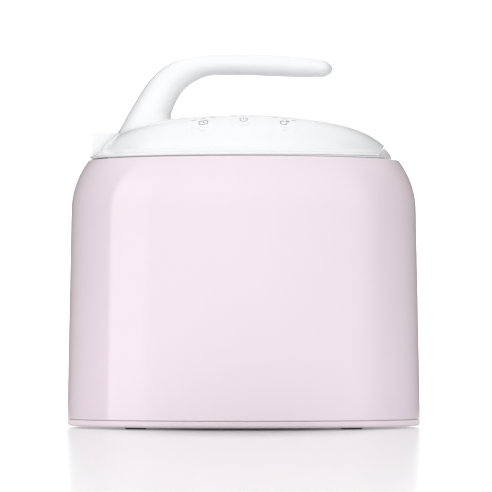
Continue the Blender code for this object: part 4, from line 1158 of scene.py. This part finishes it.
def make_cover():
    """Frosted cover under the head, with its flange in the seam, its skirt and its raised end."""
    outline = [(0.0, COVER_BOTTOM), (FLANGE_INNER_HALF, COVER_BOTTOM),
               (FLANGE_INNER_HALF + 0.0004, FLANGE_BOTTOM), (FLANGE_HALF - 0.0001, FLANGE_BOTTOM),
               (FLANGE_HALF, FLANGE_BOTTOM + 0.0001), (FLANGE_HALF, COVER_TOP), (0.0, COVER_TOP)]
    item = link("cover_skin", turned(outline, DEPTH_RATIO, OVAL_SIDES))
    low = LIP_LOW - FLANGE_GAP
    outline = [(-OUTSIDE, low), (0.0, low), (OUTSIDE, low + SEAM_SLOPE * OUTSIDE),
               (OUTSIDE, OVER_HEAD), (-OUTSIDE, OVER_HEAD)]
    over = link("over_flange", prism(outline, 1, -DEEP, DEEP))
    ring = [(PLATE_HALF, UNDER_HEAD), (OUTSIDE, UNDER_HEAD), (OUTSIDE, OVER_HEAD),
            (PLATE_HALF, OVER_HEAD)]
    combine(over, turned(ring, DEPTH_RATIO, OVAL_SIDES), "INTERSECT")
    merge(item, over, "DIFFERENCE")
    cut(item, box((-OUTSIDE, -DEEP, UNDER_HEAD), (FLANGE_START, DEEP, COVER_BOTTOM + 0.0003)))
    cut(item, box((COVER_END, -DEEP, UNDER_HEAD), (OUTSIDE, DEEP, OVER_HEAD)))
    cut(item, notch())
    cut(item, cylinder(SEAL_HOLE, UNDER_HEAD, OVER_HEAD))
    outer = SKIRT_RADIUS
    inner = SKIRT_RADIUS - SKIRT_THICKNESS
    edge = 0.0004
    low = SKIRT_BOTTOM
    top = COVER_BOTTOM + 0.0005
    skirt = [(inner, low + edge), (inner + edge, low), (outer - edge, low), (outer, low + edge),
             (outer, top), (inner, top)]
    join(item, turned(skirt))
    tab = link("tab", prism(tab_outline(), 1, -TAB_HALF_DEPTH, TAB_HALF_DEPTH))
    limit = [(0.0, UNDER_HEAD), (TAB_HALF, UNDER_HEAD), (TAB_HALF, OVER_HEAD), (0.0, OVER_HEAD)]
    combine(tab, turned(limit, DEPTH_RATIO, OVAL_SIDES), "INTERSECT")
    merge(item, tab, "UNION")
    settle(item, "frosted", "head", "inner_cover", angle=30)


# ---------------------------------------------------------------- paddle

def make_paddle():
    """Paddle with rounded windows and softened edges, and its two scraper strips."""
    reach = PADDLE_HIGH[0]
    low = PADDLE_LOW[2]
    high = PADDLE_TOP
    half = PADDLE_THICKNESS / 2
    corner = PADDLE_CORNER
    outline = [(corner - reach, low), (reach - corner, low), (reach, low + corner),
               (reach, high - corner), (reach - corner, high), (corner - reach, high),
               (-reach, high - corner), (-reach, low + corner)]
    item = link("paddle_skin", prism(rounded(outline, 0.004), 1, -half, half))
    for side in (-1, 1):
        for column in WINDOW_COLUMNS:
            for row in WINDOW_ROWS:
                window = rounded_rectangle(column[1] - column[0], row[1] - row[0], 0.005)
                middle = side * (column[0] + column[1]) / 2
                level = (row[0] + row[1]) / 2
                cut(item, prism([(x + middle, z + level) for x, z in window], 1, -0.01, 0.01))
    bevel(item, 0.0011, 4, 50)
    post = [(0.0, low), (0.0055, low), (0.0065, low + 0.001), (0.0065, high - 0.002),
            (0.0068, high + 0.001), (0.0085, high + 0.0025), (HUB_RADIUS - 0.0003, high + 0.0032),
            (HUB_RADIUS, high + 0.0042), (HUB_RADIUS, HUB_TOP - 0.0009),
            (HUB_RADIUS - 0.0009, HUB_TOP), (0.0, HUB_TOP)]
    join(item, turned(post, 1.0, 64))
    cut(item, cylinder(PIVOT_BORE, 0.055, 0.067))
    cut(item, box((-0.02, -SLOT_HALF_WIDTH, SLOT_FLOOR), (0.02, SLOT_HALF_WIDTH, 0.19)))
    settle(item, "acetal", "paddle", "paddle", angle=40)
    for name, side in (("left", -1), ("right", 1)):
        node = f"scraper_{name}"
        low_corner, high_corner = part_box(node)
        near = min(abs(low_corner[0]), abs(high_corner[0]))
        far = max(abs(low_corner[0]), abs(high_corner[0]))
        blade = [(side * near, -0.0015), (side * (far - 0.0005), -0.0015), (side * far, 0.0),
                 (side * (far - 0.0005), 0.0015), (side * near, 0.0015)]
        strip_item = link(f"{node}_skin", prism(blade, 2, low_corner[2], high_corner[2]))
        bevel(strip_item, 0.0003, 2)
        settle(strip_item, "silicone", "paddle", node)


# ---------------------------------------------------------------- stage

def make_floor():
    """Pale floor that fades to the sides, and a narrow backdrop that it sweeps up into."""
    front = -3.2
    wall = 2.2
    radius = 0.9
    profile = [(front, 0.0, FLOOR_HALF), (-0.6, 0.0, FLOOR_HALF), (0.0, 0.0, FLOOR_HALF),
               (0.6, 0.0, FLOOR_HALF), (1.0, 0.0, BACKDROP_HALF)]
    curve = arc((wall - radius, radius), radius, -math.pi / 2, 0.0, 24)
    profile += [(y, z, BACKDROP_HALF) for y, z in curve + [(wall, 2.4)]]
    mesh = bmesh.new()
    rows = []
    for y, z, half in profile:
        rows.append([mesh.verts.new((half * part, y, z)) for part in (-1.0, -0.3, 0.0, 0.3, 1.0)])
    for low, high in zip(rows, rows[1:]):
        for step in range(4):
            mesh.faces.new((low[step], low[step + 1], high[step + 1], high[step]))
    item = link("floor", mesh)
    item.data.shade_smooth()
    item.data.materials.append(floor_material())


def soft_light(name, place, target, size, power, spread):
    data = bpy.data.lights.new(name, "AREA")
    data.shape = "RECTANGLE"
    data.size = size[0]
    data.size_y = size[1]
    data.energy = power
    data.spread = math.radians(spread)
    item = bpy.data.objects.new(name, data)
    bpy.context.scene.collection.objects.link(item)
    item.location = place
    item.rotation_euler = (Vector(target) - Vector(place)).to_track_quat("-Z", "Y").to_euler()


def make_tent():
    """Light tent: bright in front, a brighter panel at the front left, dimmer above and behind."""
    world = bpy.data.worlds.new("tent")
    world.use_nodes = True
    tree = world.node_tree
    place = tree.nodes.new("ShaderNodeTexCoord")
    parts = tree.nodes.new("ShaderNodeSeparateXYZ")
    tree.links.new(place.outputs["Generated"], parts.inputs["Vector"])
    ahead = computed(tree, "ShaderNodeMath", "MULTIPLY", parts.outputs["Y"], -1.0)["Value"]
    azimuth = computed(tree, "ShaderNodeMath", "ARCTAN2", parts.outputs["X"], ahead)["Value"]
    around = tree.nodes.new("ShaderNodeValToRGB")
    stops = around.color_ramp.elements
    stops[0].position = TENT_PANELS[0][0]
    stops[1].position = TENT_PANELS[-1][0]
    for position, _ in TENT_PANELS[1:-1]:
        stops.new(position)
    for stop, (_, level) in zip(stops, TENT_PANELS):
        stop.color = (level, level, level, 1.0)
    turn = ranged(tree, azimuth, start=-math.pi, end=math.pi)
    tree.links.new(turn, around.inputs["Fac"])
    height = faded(tree, parts.outputs["Z"], *TENT_RISE)
    background = tree.nodes["Background"]
    light = mixed(tree, height, around.outputs["Color"], TENT_TOP)
    tree.links.new(light, background.inputs["Color"])
    background.inputs["Strength"].default_value = TENT_STRENGTH
    bpy.context.scene.world = world


def make_lights():
    make_tent()
    soft_light("backdrop_light", (0.0, 1.0, 2.6), (0.0, 2.2, 0.6), (2.4, 0.8), 26.0, 90.0)


def make_camera():
    data = bpy.data.cameras.new("camera")
    data.lens = 298.0
    data.sensor_width = 36.0
    data.clip_end = 30.0
    item = bpy.data.objects.new("camera", data)
    bpy.context.scene.collection.objects.link(item)
    item.location = (0.0017, -3.0, 0.068)
    target = Vector((0.0017, 0.0, 0.1335))
    item.rotation_euler = (target - item.location).to_track_quat("-Z", "Y").to_euler()
    bpy.context.scene.camera = item


make_materials()
dress_cad_nodes()
make_shell()
make_tray()
make_feet()
for index in range(1, 5):
    make_screw(f"tray_screw_{index}", "base", 0.0031)
for index in (1, 2):
    make_screw(f"head_screw_{index}", "head", PLATE_BOTTOM + 0.0009)
make_deck()
make_bowl()
make_inlet()
make_head()
make_handle()
make_handle_insert()
make_controls()
make_head_base()
make_cover()
make_paddle()
make_floor()
make_lights()
make_camera()
view = bpy.context.scene.view_settings
view.view_transform = "Standard"
